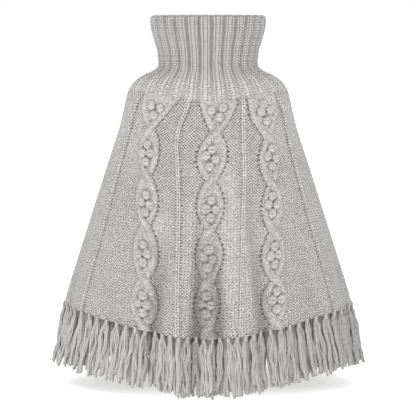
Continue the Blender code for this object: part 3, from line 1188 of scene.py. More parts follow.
        # painted shade between the bobbles, along the strands' edges and beside the crossings
        for side, centre, amount in self.gap_shades(crossings):
            far = np.hypot(across - side, (drop - centre) * MM)
            relief.darken(CREASE_SHADE, amount * np.exp(-(far / self.gap_shade_radius) ** self.gap_shade_power))
        for edge, _ in strands:
            relief.crease_shade(edge, self.strand_height, self.strand_reach, self.strand_edge_shade)
        on_cable = relief.height > RAISED
        for edge, over in strands:
            beside = (edge > 0.0) & over & on_cable
            relief.darken(CREASE_SHADE, self.crossing_shade_amount * near * beside
                          * np.exp(-(edge / self.crossing_shade) ** 2))
        self.pinhole_shades(relief, crossings, across, places)

    def add_strand(self, relief: Relief, across: Array, drop: Array, place: Array,
                   near: Array, over: Array) -> Tuple[Array, Array]:
        """Raise one strand.

        Args:
            relief: the panel's relief.
            across: side of each point from the cable's middle, in metres.
            drop: drop of each point.
            place: side of the strand in each row, in metres.
            near: how near a crossing each point is, from 0 to 1.
            over: where this strand passes over.

        Returns:
            Distance of each point outside the strand's edge, and where it passes over.
        """
        slope = np.clip(np.gradient(place, drop[:, 0] * MM), -self.steepest, self.steepest)
        slant = (1.0 / np.sqrt(1.0 + slope ** 2))[:, None]
        away = (across - place[:, None]) * slant
        share = np.clip(np.abs(away) / self.strand_half, 0.0, 1.0)
        body = (1.0 - share ** 2) ** self.strand_power
        height = self.strand_height * body * np.where(over, 1.0, 1.0 - self.dip * near)
        height = height + np.where(over, self.lift * near
                                   * (1.0 - share ** self.lift_power), 0.0)
        relief.lay(height, away / self.strand_half + 1.0, drop / self.strand_course,
                   share < 1.0, self.strand_knit)
        return np.abs(away) - self.strand_half, over

    def add_bobbles(self, relief: Relief, across: Array, drop: Array,
                    balls: List[Tuple[float, float, float]]) -> None:
        """Raise the bobbles, then paint shade on the cloth round each, most of it below.

        Args:
            relief: the panel's relief.
            across: side of each point from the cable's middle, in metres.
            drop: drop of each point.
            balls: side, drop and radius of each bobble.
        """
        for side, centre, radius in balls:
            aside, down = across - side, (drop - centre) * MM
            away = np.hypot(aside, down) / radius
            ball = self.bobble_height * np.sqrt(np.clip(1.0 - away ** 2, 0.0, 1.0))
            relief.lay(ball + self.bobble_foot, np.ones_like(down),
                       down / (self.bobble_course * MM), away < 1.0, self.bobble_knit)
        for side, centre, radius in balls:
            far = np.hypot(across - side, (drop - centre) * MM)
            # painted shade, darker below each bobble than above it
            under = 0.5 + 0.5 * (drop - centre) * MM / np.maximum(far, TINY)
            amount = self.bobble_shade * (self.bobble_over
                                           + (1.0 - self.bobble_over) * under)
            relief.crease_shade(far - radius, self.bobble_height, self.bobble_shade_reach, amount)

    def pinhole_shades(self, relief: Relief, crossings: Crossings, across: Array,
                 places: Tuple[Array, Array]) -> None:
        """Paint shade into pinhole stitches of the ground along the cable's outer edges.

        Args:
            relief: the panel's relief.
            crossings: the cable's crossings.
            across: side of each point from the cable's middle, in metres.
            places: side of each strand in each row, in metres.
        """
        low = relief.height < self.pinhole_under * self.strand_height
        for sign, amount in zip((-1, 1), crossings.pinhole_shades):
            outer = np.maximum(sign * places[0], sign * places[1])[:, None]
            away = sign * across - outer - self.strand_half - self.pinhole_out
            relief.darken(PINHOLE_SHADE,
                          amount * low * np.exp(-(away / self.pinhole_reach) ** 2))


@dataclass
class LineKnit:
    """One raised column of knit stitch, with painted shade in the open purl stitches on its
    inner side.
    """

    half: float = 3.0 * MM
    rise: float = 1.4 * MM
    leg_power: float = 0.5
    leg_floor: float = 0.15
    ditch: float = 0.1 * MM
    ditch_out: float = 1.2 * MM
    ditch_width: float = 1.5 * MM
    side_wider: float = 0.35
    outer_share: float = 0.25

    def add(self, relief: Relief, wale: Wale, turn: Array, drop: Array,
            middle: float) -> None:
        """Raise one line on the panel's relief.

        Args:
            relief: the panel's relief.
            wale: the line.
            turn: turn of each point.
            drop: drop of each point.
            middle: turn of the panel's middle, which its inner side faces.
        """
        centre = wale.turn(drop)
        across = (turn - centre) / CLOTH.turn_per_metre(turn, drop)
        inner = np.sign(middle - centre) * across
        half = self.half * (1.0 + self.side_wider * np.sin(centre - middle) ** 2)
        share = np.abs(across) / half
        lobes = np.abs(np.sin(np.pi * np.clip(share, 0.0, 1.0))) ** self.leg_power
        # painted shade in the open stitches beside the line, over a shallow ditch in the relief
        sunk = np.exp(-((np.abs(across) - half - self.ditch_out) / self.ditch_width) ** 2)
        sunk = sunk * np.where(inner > 0, 1.0, self.outer_share) * wale.bold
        ground = (share >= 1.0) & (relief.height < RAISED)
        relief.height[ground] -= (self.ditch * sunk)[ground]
        relief.darken(RUNG_SHADE, sunk * ground)
        relief.lay(self.rise * wale.bold * (self.leg_floor + (1.0 - self.leg_floor) * lobes),
                   across / (2 * half) + 0.5, relief.stitch[..., 1], share < 1.0)


@dataclass(frozen=True)
class Calm:
    """A patch of tight, even stitches.

    It has its middle's turn and half its width in degrees, its middle's drop and half
    its height in mm, and how much shallower its stitches are, from 0 to 1.
    """

    turn: float
    half_turn: float
    drop: float
    half_drop: float
    amount: float

    def at(self, turn: Array, drop: Array) -> Array:
        """How much shallower the stitches are.

        Args:
            turn: turn of each point.
            drop: drop of each point.

        Returns:
            From 0 to the patch's own amount.
        """
        aside = (np.degrees(turn) - self.turn + 180.0) % 360.0 - 180.0
        away = (aside / self.half_turn) ** 2 + ((drop - self.drop) / self.half_drop) ** 2
        return self.amount * np.exp(-away ** 2)


# --------------------------------------------------------------------------- the pieces
@dataclass
class Panel:
    """Front or back: reverse stocking stitch with cables and knit lines."""

    name: str
    wales: Tuple[Wale, ...]
    calm: Tuple[Calm, ...]
    start: float
    end: float
    seed: int
    row_step: float = 1.25
    column_step: float = 3.0 * MM
    cable_reach: float = 24.0 * MM
    mouth_room: float = 8.5 * MM
    line_reach: float = 5.5 * MM
    fine_step: float = 1.1 * MM
    wall: float = 3.6 * MM
    stitch_width: float = 5.3 * MM
    top_course: float = 4.5
    hem_course: float = 3.95
    row_lift: float = 14.0
    lift_power: int = 4
    inner_every: int = 4
    inner_column: int = 2
    calm_most: float = 0.8
    open_least: float = 0.1
    # painted shade in the fold valleys, and a patch of painted shade low on the middle cable
    fold_shade: float = 0.5
    hollow_shade: Calm = Calm(0.5, 5.5, 480.0, 130.0, 0.33)
    tucked: float = 4.0
    pick_up: float = 2.5
    # painted shade in the open stitches along the yoke's edge and the hem
    pick_up_shade: float = 0.7
    edge_depth: float = 0.6
    cables: CableKnit = field(default_factory=CableKnit)
    lines: LineKnit = field(default_factory=LineKnit)

    def course_count(self, drop: Array) -> Array:
        """Courses above a drop, which lie closer towards the hem."""
        closer = (self.hem_course - self.top_course) / (CLOTH.hem - CLOTH.yoke_edge)
        return np.log(1.0 + closer * (drop - CLOTH.yoke_edge) / self.top_course) / closer

    def reach(self, wale: Wale, drop: Array, neighbours: Tuple[Optional[Wale], ...]
              ) -> Tuple[Array, Array]:
        """How far a wale's fine columns go to its left and right.

        Args:
            wale: the cable or line.
            drop: the drop of each row.
            neighbours: the wales before and after it, if there are any.

        Returns:
            Two arrays in metres.
        """
        if wale.kind is Kind.LINE:
            reach = np.full_like(drop, self.line_reach)
            return reach, reach
        rate = CLOTH.turn_per_metre(wale.turn(drop), drop)
        up = ease((wale.crossings.first - drop) / (wale.crossings.first - CLOTH.yoke_edge))
        found = []
        mouth = wale.crossings.mouth
        for aside, neighbour in zip((mouth.left[0], mouth.right[0]), neighbours):
            extra = max(aside * MM + self.mouth_room - self.cable_reach, 0.0)
            reach = self.cable_reach + extra * up
            if neighbour is not None:
                gap = np.abs(neighbour.turn(drop) - wale.turn(drop)) / rate
                reach = np.minimum(reach, gap - self.line_reach - self.fine_step)
            found.append(reach)
        return found[0], found[1]

    def columns(self, drop: Array) -> Tuple[Array, Array]:
        """Turns of the grid's columns and the turns that their stitches are counted from.

        Args:
            drop: the drop of each row.

        Returns:
            Two arrays with a row for each drop and a column for each column of points.
        """
        turns: List[Array] = [np.full_like(drop, self.start)]
        homes: List[Array] = [self.wales[0].turn(drop)]
        edge, home = turns[0], homes[0]

        def ground(low: Array, high: Array, origin: Array) -> None:
            """Fill the plain ground between two columns.

            Args:
                low: turn of the column at its left, in each row.
                high: turn of the one at its right.
                origin: turn that its stitches are counted from.
            """
            rate = CLOTH.turn_per_metre(low[-1:], drop[-1:])[0]
            count = max(int((high[-1] - low[-1]) / rate / self.column_step), 2)
            for step in range(1, count):
                share = step / count
                turns.append(low * (1 - share) + high * share)
                homes.append(origin)

        row = (None, *self.wales, None)
        for index, wale in enumerate(self.wales):
            centre = wale.turn(drop)
            rate = CLOTH.turn_per_metre(centre, drop)
            left, right = self.reach(wale, drop, (row[index], row[index + 2]))
            wide = self.cable_reach if wale.kind is Kind.CABLE else self.line_reach
            half = int(wide / self.fine_step)
            origin = home if wale.kind is Kind.LINE and index else centre
            ground(edge, centre - left * rate, origin)
            home = centre
            if wale.kind is Kind.LINE and index + 1 < len(self.wales):
                home = self.wales[index + 1].turn(drop)
            for step in range(-half, half + 1):
                reach = (left if step < 0 else right) * step / half
                turns.append(centre + reach * rate)
                homes.append(home if step > 0 else origin)
            edge = turns[-1]
        last = np.full_like(drop, self.end)
        ground(edge, last, home)
        turns.append(last)
        homes.append(home)
        return np.stack(turns, 1), np.stack(homes, 1)

    def purl_ground(self, turn: Array, home: Array, drop: Array) -> Relief:
        """Flat relief with the stitches of the ground.

        Args:
            turn: turn of each point.
            home: turn that each column's stitches are counted from.
            drop: drop of each point.

        Returns:
            The relief.
        """
        steps = np.linalg.norm(np.diff(CLOTH.oval(turn, drop), axis=1), axis=-1)
        length = np.pad(np.cumsum(steps, axis=1), ((0, 0), (1, 0)))
        start = np.stack([np.interp(*row) for row in zip(home, turn, length)])
        wale = (length - start) / self.stitch_width
        course = self.course_count(drop + self.row_lift * np.cos(turn) ** self.lift_power)
        return Relief(np.zeros_like(turn), np.stack((wale, course, np.zeros_like(wale)), -1),
                      np.zeros((*turn.shape, PINHOLE_SHADE + 1)))

    def shade(self, relief: Relief, turn: Array, drop: Array) -> Array:
        """Painted shade of the finished relief and of the fold valleys, as the finish reads it.

        Args:
            relief: the panel's relief.
            turn: turn of each point.
            drop: drop of each point.

        Returns:
            Three numbers for each point.
        """
        # painted shade in the open stitches along the yoke's edge and the hem
        for edge, depth in ((CLOTH.yoke_edge, self.pick_up_shade),
                            (CLOTH.hem, self.edge_depth)):
            relief.darken(DOT_SHADE, depth * np.exp(-((drop - edge) / self.pick_up) ** 2))
        crease_shade, rung_shades, dot_shades, pinhole_shades = np.moveaxis(relief.shade, -1, 0)
        calm = np.minimum(sum(patch.at(turn, drop) for patch in self.calm), self.calm_most)
        # painted shade in the fold valleys and in the patch low on the middle cable
        fold = 1.0 - self.fold_shade * CLOTH.valley(turn, drop)
        fold = fold * (1.0 - self.hollow_shade.at(turn, drop))
        return np.stack((1.0 - (1.0 - crease_shade) * fold, rung_shades - pinhole_shades,
                         np.where(dot_shades > self.open_least, dot_shades, -calm)), -1)

    def surface(self) -> Tuple[Patch, Patch, Array, Array]:
        """Make both faces of the cloth.

        Returns:
            Outer and inner faces, and the rows and columns that the inner one keeps.
        """
        top, bottom = CLOTH.yoke_edge, CLOTH.hem
        rows = np.linspace(top, bottom, int((bottom - top) / self.row_step) + 1)
        turn, home = self.columns(rows)
        drop = np.repeat(rows[:, None], turn.shape[1], 1)
        relief = self.purl_ground(turn, home, drop)
        wale, course = relief.stitch[..., 0].copy(), relief.stitch[..., 1].copy()
        chance = np.random.default_rng(self.seed)
        for part in self.wales:
            if part.kind is Kind.CABLE:
                self.cables.add(relief, part, turn, drop, chance)
        for part in self.wales:
            if part.kind is Kind.LINE:
                self.lines.add(relief, part, turn, drop, 0.5 * (self.start + self.end))
        shade = self.shade(relief, turn, drop)
        height = relief.height * ease((drop - top) / self.tucked)
        out = CLOTH.outward(turn, drop)
        cloth = CLOTH.point(turn, drop)
        outer = Patch(cloth + out * height[..., None], relief.stitch, shade)
        keep_rows, keep = (
            np.unique(np.append(np.arange(0, count, every), count - 1))
            for count, every in zip(turn.shape, (self.inner_every, self.inner_column)))
        pick = np.ix_(keep_rows, keep)
        back = np.stack((wale[pick], course[pick], np.ones_like(wale[pick])), -1)
        inner = Patch((cloth - out * self.wall)[pick], back, np.zeros(back.shape))
        return outer, inner, keep_rows, keep

    def build(self, finish: KnitFinish) -> bpy.types.Object:
        """Make the panel as one closed shell.

        Args:
            finish: the cloth's finish.

        Returns:
            The piece.
        """
        outer, inner, keep_rows, keep = self.surface()
        maker = MeshMaker()
        sides = []
        for patch, flip, window in ((outer, False, OUTER_WINDOW), (inner, True, INNER_WINDOW)):
            shape = patch.points.shape[:2]
            start = maker.add_points(patch.points, patch.stitch, patch.shade,
                                     patch.normals(False, flip))
            maker.add_faces(grid_corners(*shape, start, False, flip),
                            grid_places(patch, False, flip, window))
            sides.append(start + np.arange(shape[0] * shape[1]).reshape(shape))
        outside, inside = sides
        for end in (0, -1):
            self.close(maker, outside[end], inside[end], keep, end == 0)
        for end in (0, -1):
            self.close(maker, outside[:, end], inside[:, end], keep_rows, end == -1)
        return maker.build(self.name + "_knit", "stitch", finish.material())

    @staticmethod
    def close(maker: MeshMaker, fine: Array, coarse: Array, keep: Array,
              flip: bool) -> None:
        """Close one edge of the shell.

        Args:
            maker: collects the points and faces.
            fine: numbers of the outer face's points along the edge.
            coarse: numbers of the inner face's points.
            keep: which of the fine ones each coarse one lies behind.
            flip: whether the faces are turned over.
        """
        for index, (low, high) in enumerate(zip(keep, keep[1:])):
            face = np.concatenate((fine[low:high + 1], coarse[[index + 1, index]]))
            places = np.full((len(face), 2), EDGE_STRIP)
            places[:, 0] = (np.linspace(0.0, EDGE_WIDTH, len(face))
                            + (EDGE_STRIP - EDGE_WIDTH) * low / keep[-1])
            maker.add_faces((face[::-1] if flip else face)[None, :], places)


@dataclass
class Collar:
    """Ribbed tube that stands at the neck and spreads into the yoke."""

    ribs: int = 27
    furrow_at: float = 4.0
    drawn_in: Tuple[float, float] = (3.4, 2.2)
    columns_per_rib: int = 20
    row_step: float = 1.25
    inner_step: float = 4.5
    wall: float = 6.8 * MM
    edge_wall: float = 3.6 * MM
    thinning: float = 40.0
    depth: float = 2.4 * MM
    edge_depth: float = 0.3 * MM
    fade: float = 58.0
    lobe: float = 0.5 * MM
    lobe_floor: float = 0.35
    furrow_share: float = 0.3
    ridge_wall: float = 0.06
    # painted shade on the ribs' crowns, furrow floors and walls, weaker inside and towards the
    # yoke
    crown_shade: float = 0.24
    furrow_floor_shade: float = 0.5
    wall_shade: float = 0.25
    wall_width: float = 0.03
    edge_shade: float = 0.1
    inner_shade: float = 0.3
    yoke_calm: float = 0.45
    yoke_knit: float = 0.75
    yoke_purl: float = 0.05
    pick_up: float = 2.5
    # painted shade in the open stitches along the yoke's edge
    pick_up_shade: float = 0.6
    course: float = 4.1
    furrow_start: float = 0.25
    rim_rise: float = 1.4 * MM
    rim_share: float = 0.6
    rim_length: float = 5.0
    rim_steps: int = 6
    inner_rib: float = 1.8 * MM

    def __post_init__(self) -> None:
        """Lay out the ribs, each from the middle of one furrow to that of the next."""
        self.count = self.ribs * self.columns_per_rib
        self.share = (np.arange(self.count) % self.columns_per_rib) / self.columns_per_rib
        self.half = 0.5 * self.furrow_share
        self.furrow = np.minimum(self.share, 1.0 - self.share)
        self.ridge = ease((self.furrow - (self.half - self.ridge_wall))
                          / (2 * self.ridge_wall))
        self.knit_wale = (self.share - self.half) / (0.5 - self.half)
        self.outer_rows = np.linspace(CLOTH.yoke_edge, 0.0,
                                      int(CLOTH.yoke_edge / self.row_step) + 1)
        self.inner_rows = np.linspace(0.0, CLOTH.yoke_edge,
                                      int(CLOTH.yoke_edge / self.inner_step) + 1)
        self.strength = ease((CLOTH.yoke_edge - self.outer_rows) / self.fade)[:, None]

    def face(self, rows: Array, offset: Array) -> Array:
        """Points of one face of the tube.

        Args:
            rows: the drop of each row.
            offset: how far each point stands out from the oval, in metres.

        Returns:
            The points.
        """
        circle = TAU * np.arange(self.count) / self.count + math.radians(self.furrow_at)
        near, nearer = np.radians(self.drawn_in)
        circle = circle - near * np.sin(circle) - nearer * np.sin(circle) ** 2
        drop = np.repeat(rows[:, None], self.count, 1)
        turn = CLOTH.even_turn(circle[None, :], drop)
        return CLOTH.oval(turn, drop) + CLOTH.square_out(turn, drop) * offset[..., None]

    def points(self) -> Array:
        """Grid up the outside from the yoke's edge, over the rim and down the inside.

        Returns:
            The points.
        """
        depth = self.edge_depth + (self.depth - self.edge_depth) * self.strength
        depth = depth * (1.0 - self.rim_share
                         * np.exp(-(self.outer_rows / self.rim_length) ** 2))[:, None]
        groove = 0.5 - 0.5 * np.cos(TAU * self.knit_wale)
        lobe = self.lobe * (self.lobe_floor + (1.0 - self.lobe_floor) * self.strength)
        outside = self.face(self.outer_rows,
                            -depth * (1.0 - self.ridge) - lobe * groove * self.ridge)
        thin = ease((self.inner_rows - CLOTH.yoke_edge) / self.thinning + 1.0)[:, None]
        inside = self.face(self.inner_rows,
                           -self.wall + (self.wall - self.edge_wall) * thin
                           + self.inner_rib * self.ridge * (1.0 - thin))
        bend = np.linspace(0.0, math.pi, self.rim_steps + 1)[1:-1, None, None]
        middle, reach = 0.5 * (outside[-1] + inside[0]), 0.5 * (outside[-1] - inside[0])
        rim = middle + reach * np.cos(bend) + UP * self.rim_rise * np.sin(bend)
        return np.concatenate((outside, rim, inside))

    def stitches(self, points: Array, faded: Array, inner: Array) -> Array:
        """Columns and rows of stitches, and how far the knit side faces out.

        Args:
            points: the grid.
            faded: strength of the ribs in each row.
            inner: which rows are on the inside.

        Returns:
            Three numbers for each point.
        """
        level = way_along(points, 0) / (self.course * MM)
        purl_wale = (np.where(self.share > 0.5, self.share - 1.0, self.share)
                     / self.furrow_share + self.furrow_start)
        wale = np.where(self.furrow > self.half, self.knit_wale, purl_wale)
        outer_knit = (self.ridge * (self.yoke_knit + (1.0 - self.yoke_knit) * faded)
                      + (1.0 - self.ridge) * self.yoke_purl * (1.0 - faded))
        return np.stack(np.broadcast_arrays(
            wale, -level[:, None], np.where(inner, 1.0 - self.ridge, outer_knit)), -1)

    def shade(self, shape: Tuple[int, int], faded: Array, inner: Array) -> Array:
        """Paint shade on the ribs and furrows, and along the edge where the panels are picked
        up.

        Args:
            shape: count of the grid's rows and columns.
            faded: strength of the ribs in each row.
            inner: which rows are on the inside.

        Returns:
            Three numbers for each point.
        """
        shade = np.zeros((*shape, 3))
        wall = np.exp(-((self.furrow - self.half) / self.wall_width) ** 2)
        crown = self.crown_shade * ease((self.furrow - self.half) / (0.5 - self.half))
        floor = self.furrow_floor_shade * (1.0 - self.ridge)
        crease_shade = np.maximum(crown + floor, self.wall_shade * wall)
        shade[..., CREASE_SHADE] = (crease_shade * np.where(inner, self.inner_shade, 1.0)
                              * (self.edge_shade + (1.0 - self.edge_shade) * faded ** 2))
        near = np.exp(-((self.outer_rows - CLOTH.yoke_edge) / self.pick_up) ** 2)
        shade[..., DOT_SHADE] = self.yoke_calm * (faded - 1.0)
        shade[:len(near), :, DOT_SHADE] += (self.pick_up_shade + self.yoke_calm) * near[:, None]
        return shade

    def build(self, finish: KnitFinish) -> bpy.types.Object:
        """Make the collar as one closed shell.

        Args:
            finish: the cloth's finish.

        Returns:
            The piece.
        """
        points = self.points()
        shape = points.shape[:2]
        after = shape[0] - len(self.strength)
        faded = np.concatenate((self.strength, np.ones((after, 1))))
        inner = np.arange(shape[0])[:, None] >= shape[0] - len(self.inner_rows)
        patch = Patch(points, self.stitches(points, faded, inner),
                      self.shade(shape, faded, inner))
        maker = MeshMaker()
        start = maker.add_points(points, patch.stitch, patch.shade,
                                 patch.normals(True, True))
        maker.add_faces(grid_corners(*shape, start, True, True),
                        grid_places(patch, True, True, TUBE_WINDOW))
        spots = np.arange(self.count)
        ahead = (spots + 1) % self.count
        last = start + (shape[0] - 1) * self.count
        closing = np.stack((start + spots, start + ahead, last + ahead, last + spots), 1)
        half_strip = 0.5 * EDGE_WIDTH
        low, high = EDGE_STRIP - half_strip, EDGE_STRIP + half_strip
        places = np.stack((np.stack((spots, spots + 1, spots + 1, spots), 1) / self.count,
                           np.tile((low, low, high, high), (self.count, 1))), -1)
        maker.add_faces(closing, places)
        return maker.build("collar_ribbing", "stitch", finish.material())


class Part(Enum):
    """What a strand is in its tassel."""

    HANGING = "hanging"
    UNDER = "under"
    KNOT = "knot"


@dataclass(frozen=True)
class HemSpot:
    """A point on the hem with the directions out, along and down the fringe."""

    point: Array
    out: Array
    along: Array
    fall: Array

    def line(self, run: Array, aside: Array, outside: Array) -> Array:
        """Middle line of a strand, from how far it runs down, aside and out."""
        return (self.point + self.fall * run[:, None] + self.along * aside[:, None]
                + self.out * outside[:, None])


@dataclass
class Fringe:
    """Tassels of loose yarn, each looped through the hem.

    A pair holds the least and the most of what chance gives.
    """

    name: str
    start: float
    end: float
    seed: int
    tassels: int = 38
    middle_pitch: float = 0.78
    locks: int = 3
    lock_strands: int = 4
    under_strands: int = 6
    length: float = 95.0 * MM
    trim: Tuple[float, float] = (0.82, 0.99)
    strand_trim: Tuple[float, float] = (0.95, 1.0)
    under_trim: Tuple[float, float] = (0.8, 0.96)
    side_longer: float = 0.09
    side_power: int = 8
    radius: float = 1.85 * MM
    sizes: Tuple[float, float] = (0.85, 1.12)
    tones: Tuple[float, float] = (0.35, 1.0)
    tip: float = 0.85
    taper_from: float = 0.93
    sides: int = 6
    steps: int = 16
    neck: float = 1.5 * MM
    neck_length: float = 9.5 * MM
    neck_power: float = 3.0
    belly: float = 5.6 * MM
    gather: float = 0.45
    gather_power: int = 3
    lock_depth: float = 0.5
    sunk: float = 1.8 * MM
    sway: float = 1.8 * MM
    stray: float = 2.2 * MM
    stray_power: float = 1.6
    lock_wave: float = 1.3 * MM
    lock_turns: float = 1.4
    strand_wave: float = 0.7 * MM
    strand_turns: float = 2.6
    wave_change: Tuple[float, float] = (0.7, 1.3)
    wave_start: float = 5.0
    # painted shade at each tassel's neck and on the strands that hang behind it
    neck_shade: float = 0.25
    under_out: float = 6.0 * MM
    under_outs: Tuple[float, float] = (0.8, 1.3)
    under_half: float = 10.0 * MM
    under_stray: float = 0.5
    under_thick: float = 1.5
    under_shade: float = 0.92
    under_shades: Tuple[float, float] = (0.6, 1.0)
    under_length: float = 38.0 * MM
    twist: float = 9.0 * MM
    reach: float = 80.0
    knots: Tuple[Tuple[float, float], ...] = ((1.7, 2.2), (0.5, 0.8))
    knot_length: float = 7.0 * MM
    knot_power: float = 0.6
    knot_out: float = 1.6 * MM
    knot_flat: float = 0.35
    knot_radius: float = 1.4 * MM
    skew: Tuple[float, float, float] = (0.3, 1.0, 0.0)
    map_shape: float = 3.0
    map_fill: Tuple[float, float] = (0.9, 0.95)

    def spot(self, turn: float) -> HemSpot:
        """Find where a tassel hangs.

        Args:
            turn: its turn.

        Returns:
            The point on the hem and the directions there.
        """
        hem = np.array(CLOTH.hem)
        out = CLOTH.outward(np.array(turn), hem)
        fall = unit(CLOTH.oval(np.array(turn), hem + self.reach)
                    - CLOTH.oval(np.array(turn), hem))
        return HemSpot(CLOTH.point(np.array(turn), hem), out,
                       np.array((-out[1], out[0], 0.0)), fall)

    def ripple(self, share: Array, turns: float, depth: float,
               chance: np.random.Generator) -> Array:
        """Waves along and out of a strand that starts still at the hem.

        Args:
            share: share of the strand's length at each point.
            turns: how many waves it has.
            depth: how far they reach, in metres.
            chance: source of random numbers.

        Returns:
            Two rows of metres, aside and out.
        """
        turns = turns * chance.uniform(*self.wave_change, (2, 1))
        wave = np.sin((share * turns + chance.uniform(0, 1, (2, 1))) * TAU)
        return wave * depth * ease(share * self.wave_start)

    def tassel(self, spot: HemSpot, turn: float,
               chance: np.random.Generator) -> List[Array]:
        """Middle lines of the strands of one tassel, lock by lock.

        Args:
            spot: where it hangs.
            turn: its turn.
            chance: source of random numbers.

        Returns:
            For each strand its points from the hem to its tip.
        """
        share = np.linspace(0.0, 1.0, self.steps + 1)
        lean = chance.normal(0.0, self.sway, 2)
        lines = []
        for lock in range(self.locks):
            centre = (lock + 0.5) / self.locks * 2.0 - 1.0
            depth = chance.uniform(-self.lock_depth, self.lock_depth)
            length = self.length * chance.uniform(*self.trim)
            length = length * (1.0 + self.side_longer * math.sin(turn) ** self.side_power)
            stray = lean + chance.normal(0.0, self.stray, 2)
            bend = self.ripple(share, self.lock_turns, self.lock_wave, chance)
            bend = bend + stray[:, None] * share ** self.stray_power
            phase = chance.uniform(0.0, TAU)
            for strand in range(self.lock_strands):
                run = share * length * chance.uniform(*self.strand_trim)
                pinch = np.exp(-(run / self.neck_length) ** self.neck_power)
                width = self.neck * pinch + self.belly * (1.0 - pinch)
                angle = phase + TAU * strand / self.lock_strands
                inner = width / self.locks * (1.0 - self.gather * share ** self.gather_power)
                shake = bend + self.ripple(share, self.strand_turns, self.strand_wave, chance)
                lines.append(spot.line(
                    run, centre * width + inner * math.cos(angle) + shake[0],
                    depth * width + inner * math.sin(angle) + shake[1] - self.sunk))
        return lines

    def under(self, spot: HemSpot, chance: np.random.Generator) -> List[Array]:
        """Middle lines of the strands that hang behind one tassel, darkened with painted shade.

        Args:
            spot: where it hangs.
            chance: source of random numbers.

        Returns:
            For each strand its points from the hem to its tip.
        """
        share = np.linspace(0.0, 1.0, self.steps + 1)
        lines = []
        for strand in range(self.under_strands):
            across = (strand + 0.5) / self.under_strands * 2.0 - 1.0
            run = share * self.length * chance.uniform(*self.under_trim)
            shake = self.ripple(share, self.lock_turns, self.lock_wave, chance)
            shake = shake + (chance.normal(0.0, self.under_stray * self.stray, (2, 1))
                             * share ** self.stray_power)
            lines.append(spot.line(
                run, across * self.under_half + shake[0],
                shake[1] - self.under_out * chance.uniform(*self.under_outs)))
        return lines

    def knot(self, spot: HemSpot, half: float, rise: float) -> Array:
        """Middle line of one loop of the knot that holds a tassel.

        Args:
            spot: where the tassel hangs.
            half: half the loop's width in mm.
            rise: how far its top stands above the hem, in mm.

        Returns:
            Points from its left end over its top to its right end.
        """
        angle = np.linspace(0.0, math.pi, self.steps + 1)
        arch = np.sin(angle)
        return spot.line(self.knot_length - (self.knot_length + rise * MM)
                         * arch ** self.knot_power,
                         -half * MM * np.cos(angle),
                         self.knot_out * (self.knot_flat + (1.0 - self.knot_flat) * arch))

    def build(self, finish: YarnFinish) -> bpy.types.Object:
        """Make the whole fringe as one piece.

        Args:
            finish: the yarn's finish.

        Returns:
            The piece.
        """
        chance = np.random.default_rng(self.seed)
        maker = MeshMaker()
        each = self.locks * self.lock_strands + self.under_strands + len(self.knots)
        total = self.tassels * each
        across_map = math.ceil(math.sqrt(total * self.map_shape))
        down_map = math.ceil(total / across_map)
        cells = (((index % across_map) / across_map, (index // across_map) / down_map,
                  1 / across_map, 1 / down_map) for index in range(total))
        for tassel in range(self.tassels):
            share = (2 * tassel + 1) / self.tassels - 1.0
            share = self.middle_pitch * share + (1.0 - self.middle_pitch) * share ** 3
            circle = 0.5 * (self.start + self.end + (self.end - self.start) * share)
            turn = float(CLOTH.even_turn(np.array(circle), np.array(CLOTH.hem)))
            spot = self.spot(turn)
            for line in self.tassel(spot, turn, chance):
                self.add_strand(maker, line, Part.HANGING, chance, next(cells))
            for line in self.under(spot, chance):
                self.add_strand(maker, line, Part.UNDER, chance, next(cells))
            for loop in self.knots:
                self.add_strand(maker, self.knot(spot, *loop), Part.KNOT, chance,
                                next(cells))
        return maker.build(self.name + "_yarn", "strand", finish.material())

    def thickness(self, part: Part, run: Array,
                  chance: np.random.Generator) -> Tuple[Array, Array]:
        """Thickness and painted shade along one strand.

        Args:
            part: what it is in its tassel.
            run: length of the strand to each point, in metres.
            chance: source of random numbers.

        Returns:
            Radius in metres and shade at each point.
        """
        share = run / run[-1]
        if part is Part.KNOT:
            return np.full_like(share, self.knot_radius), np.zeros_like(share)
        taper = np.clip((share - self.taper_from) / (1.0 - self.taper_from), 0.0, 1.0)
        thick = self.radius * (1.0 - (1.0 - self.tip) * taper ** 2)
        if part is Part.HANGING:
            return thick, self.neck_shade * np.exp(-(run / self.neck_length) ** 2)
        # painted shade on the strands behind the tassel, deepest at the hem
        crease_shade = self.under_shade * np.exp(-(run / self.under_length) ** 2)
        return thick * self.under_thick, crease_shade * chance.uniform(*self.under_shades)

    def add_strand(self, maker: MeshMaker, line: Array, part: Part,
                   chance: np.random.Generator, cell: Tuple[float, ...]) -> None:
        """Add one strand as a tube round its middle line.

        Args:
            maker: collects the points and faces.
            line: the middle line.
            part: what it is in its tassel.
            chance: source of random numbers.
            cell: left, bottom, width and height of its part of the bake's map.
        """
        ahead = unit(np.gradient(line, axis=0))
        side = unit(np.cross(ahead, np.array(self.skew)))
        front = np.cross(side, ahead)
        run = np.concatenate(([0.0], np.cumsum(np.linalg.norm(np.diff(line, axis=0),
                                                              axis=1))))
        thick, crease_shade = self.thickness(part, run, chance)
        thick = thick * chance.uniform(*self.sizes)
        angle = TAU * np.arange(self.sides) / self.sides
        out = (side[:, None] * np.cos(angle)[:, None] + front[:, None]
               * np.sin(angle)[:, None])
        points = line[:, None] + out * thick[:, None, None]
        data = np.stack(np.broadcast_arrays(
            angle[None, :] / TAU, run[:, None] / self.twist, chance.uniform(*self.tones)), -1)
        shade = np.zeros(points.shape)
        shade[..., CREASE_SHADE] = crease_shade[:, None]
        start = maker.add_points(points, data, shade, out)
        left, low, wide, tall = cell
        fill_wide, fill_tall = self.map_fill
        places = cell_places(
            left + wide * fill_wide * np.arange(self.sides + 1) / self.sides,
            low + tall * fill_tall * np.arange(len(line)) / len(line))
        maker.add_faces(grid_corners(len(line), self.sides, start, True, False), places)
        tip = start + (len(line) - 1) * self.sides + np.arange(self.sides)
        maker.add_faces(tip[None, :], np.tile((left, low), (self.sides, 1)))


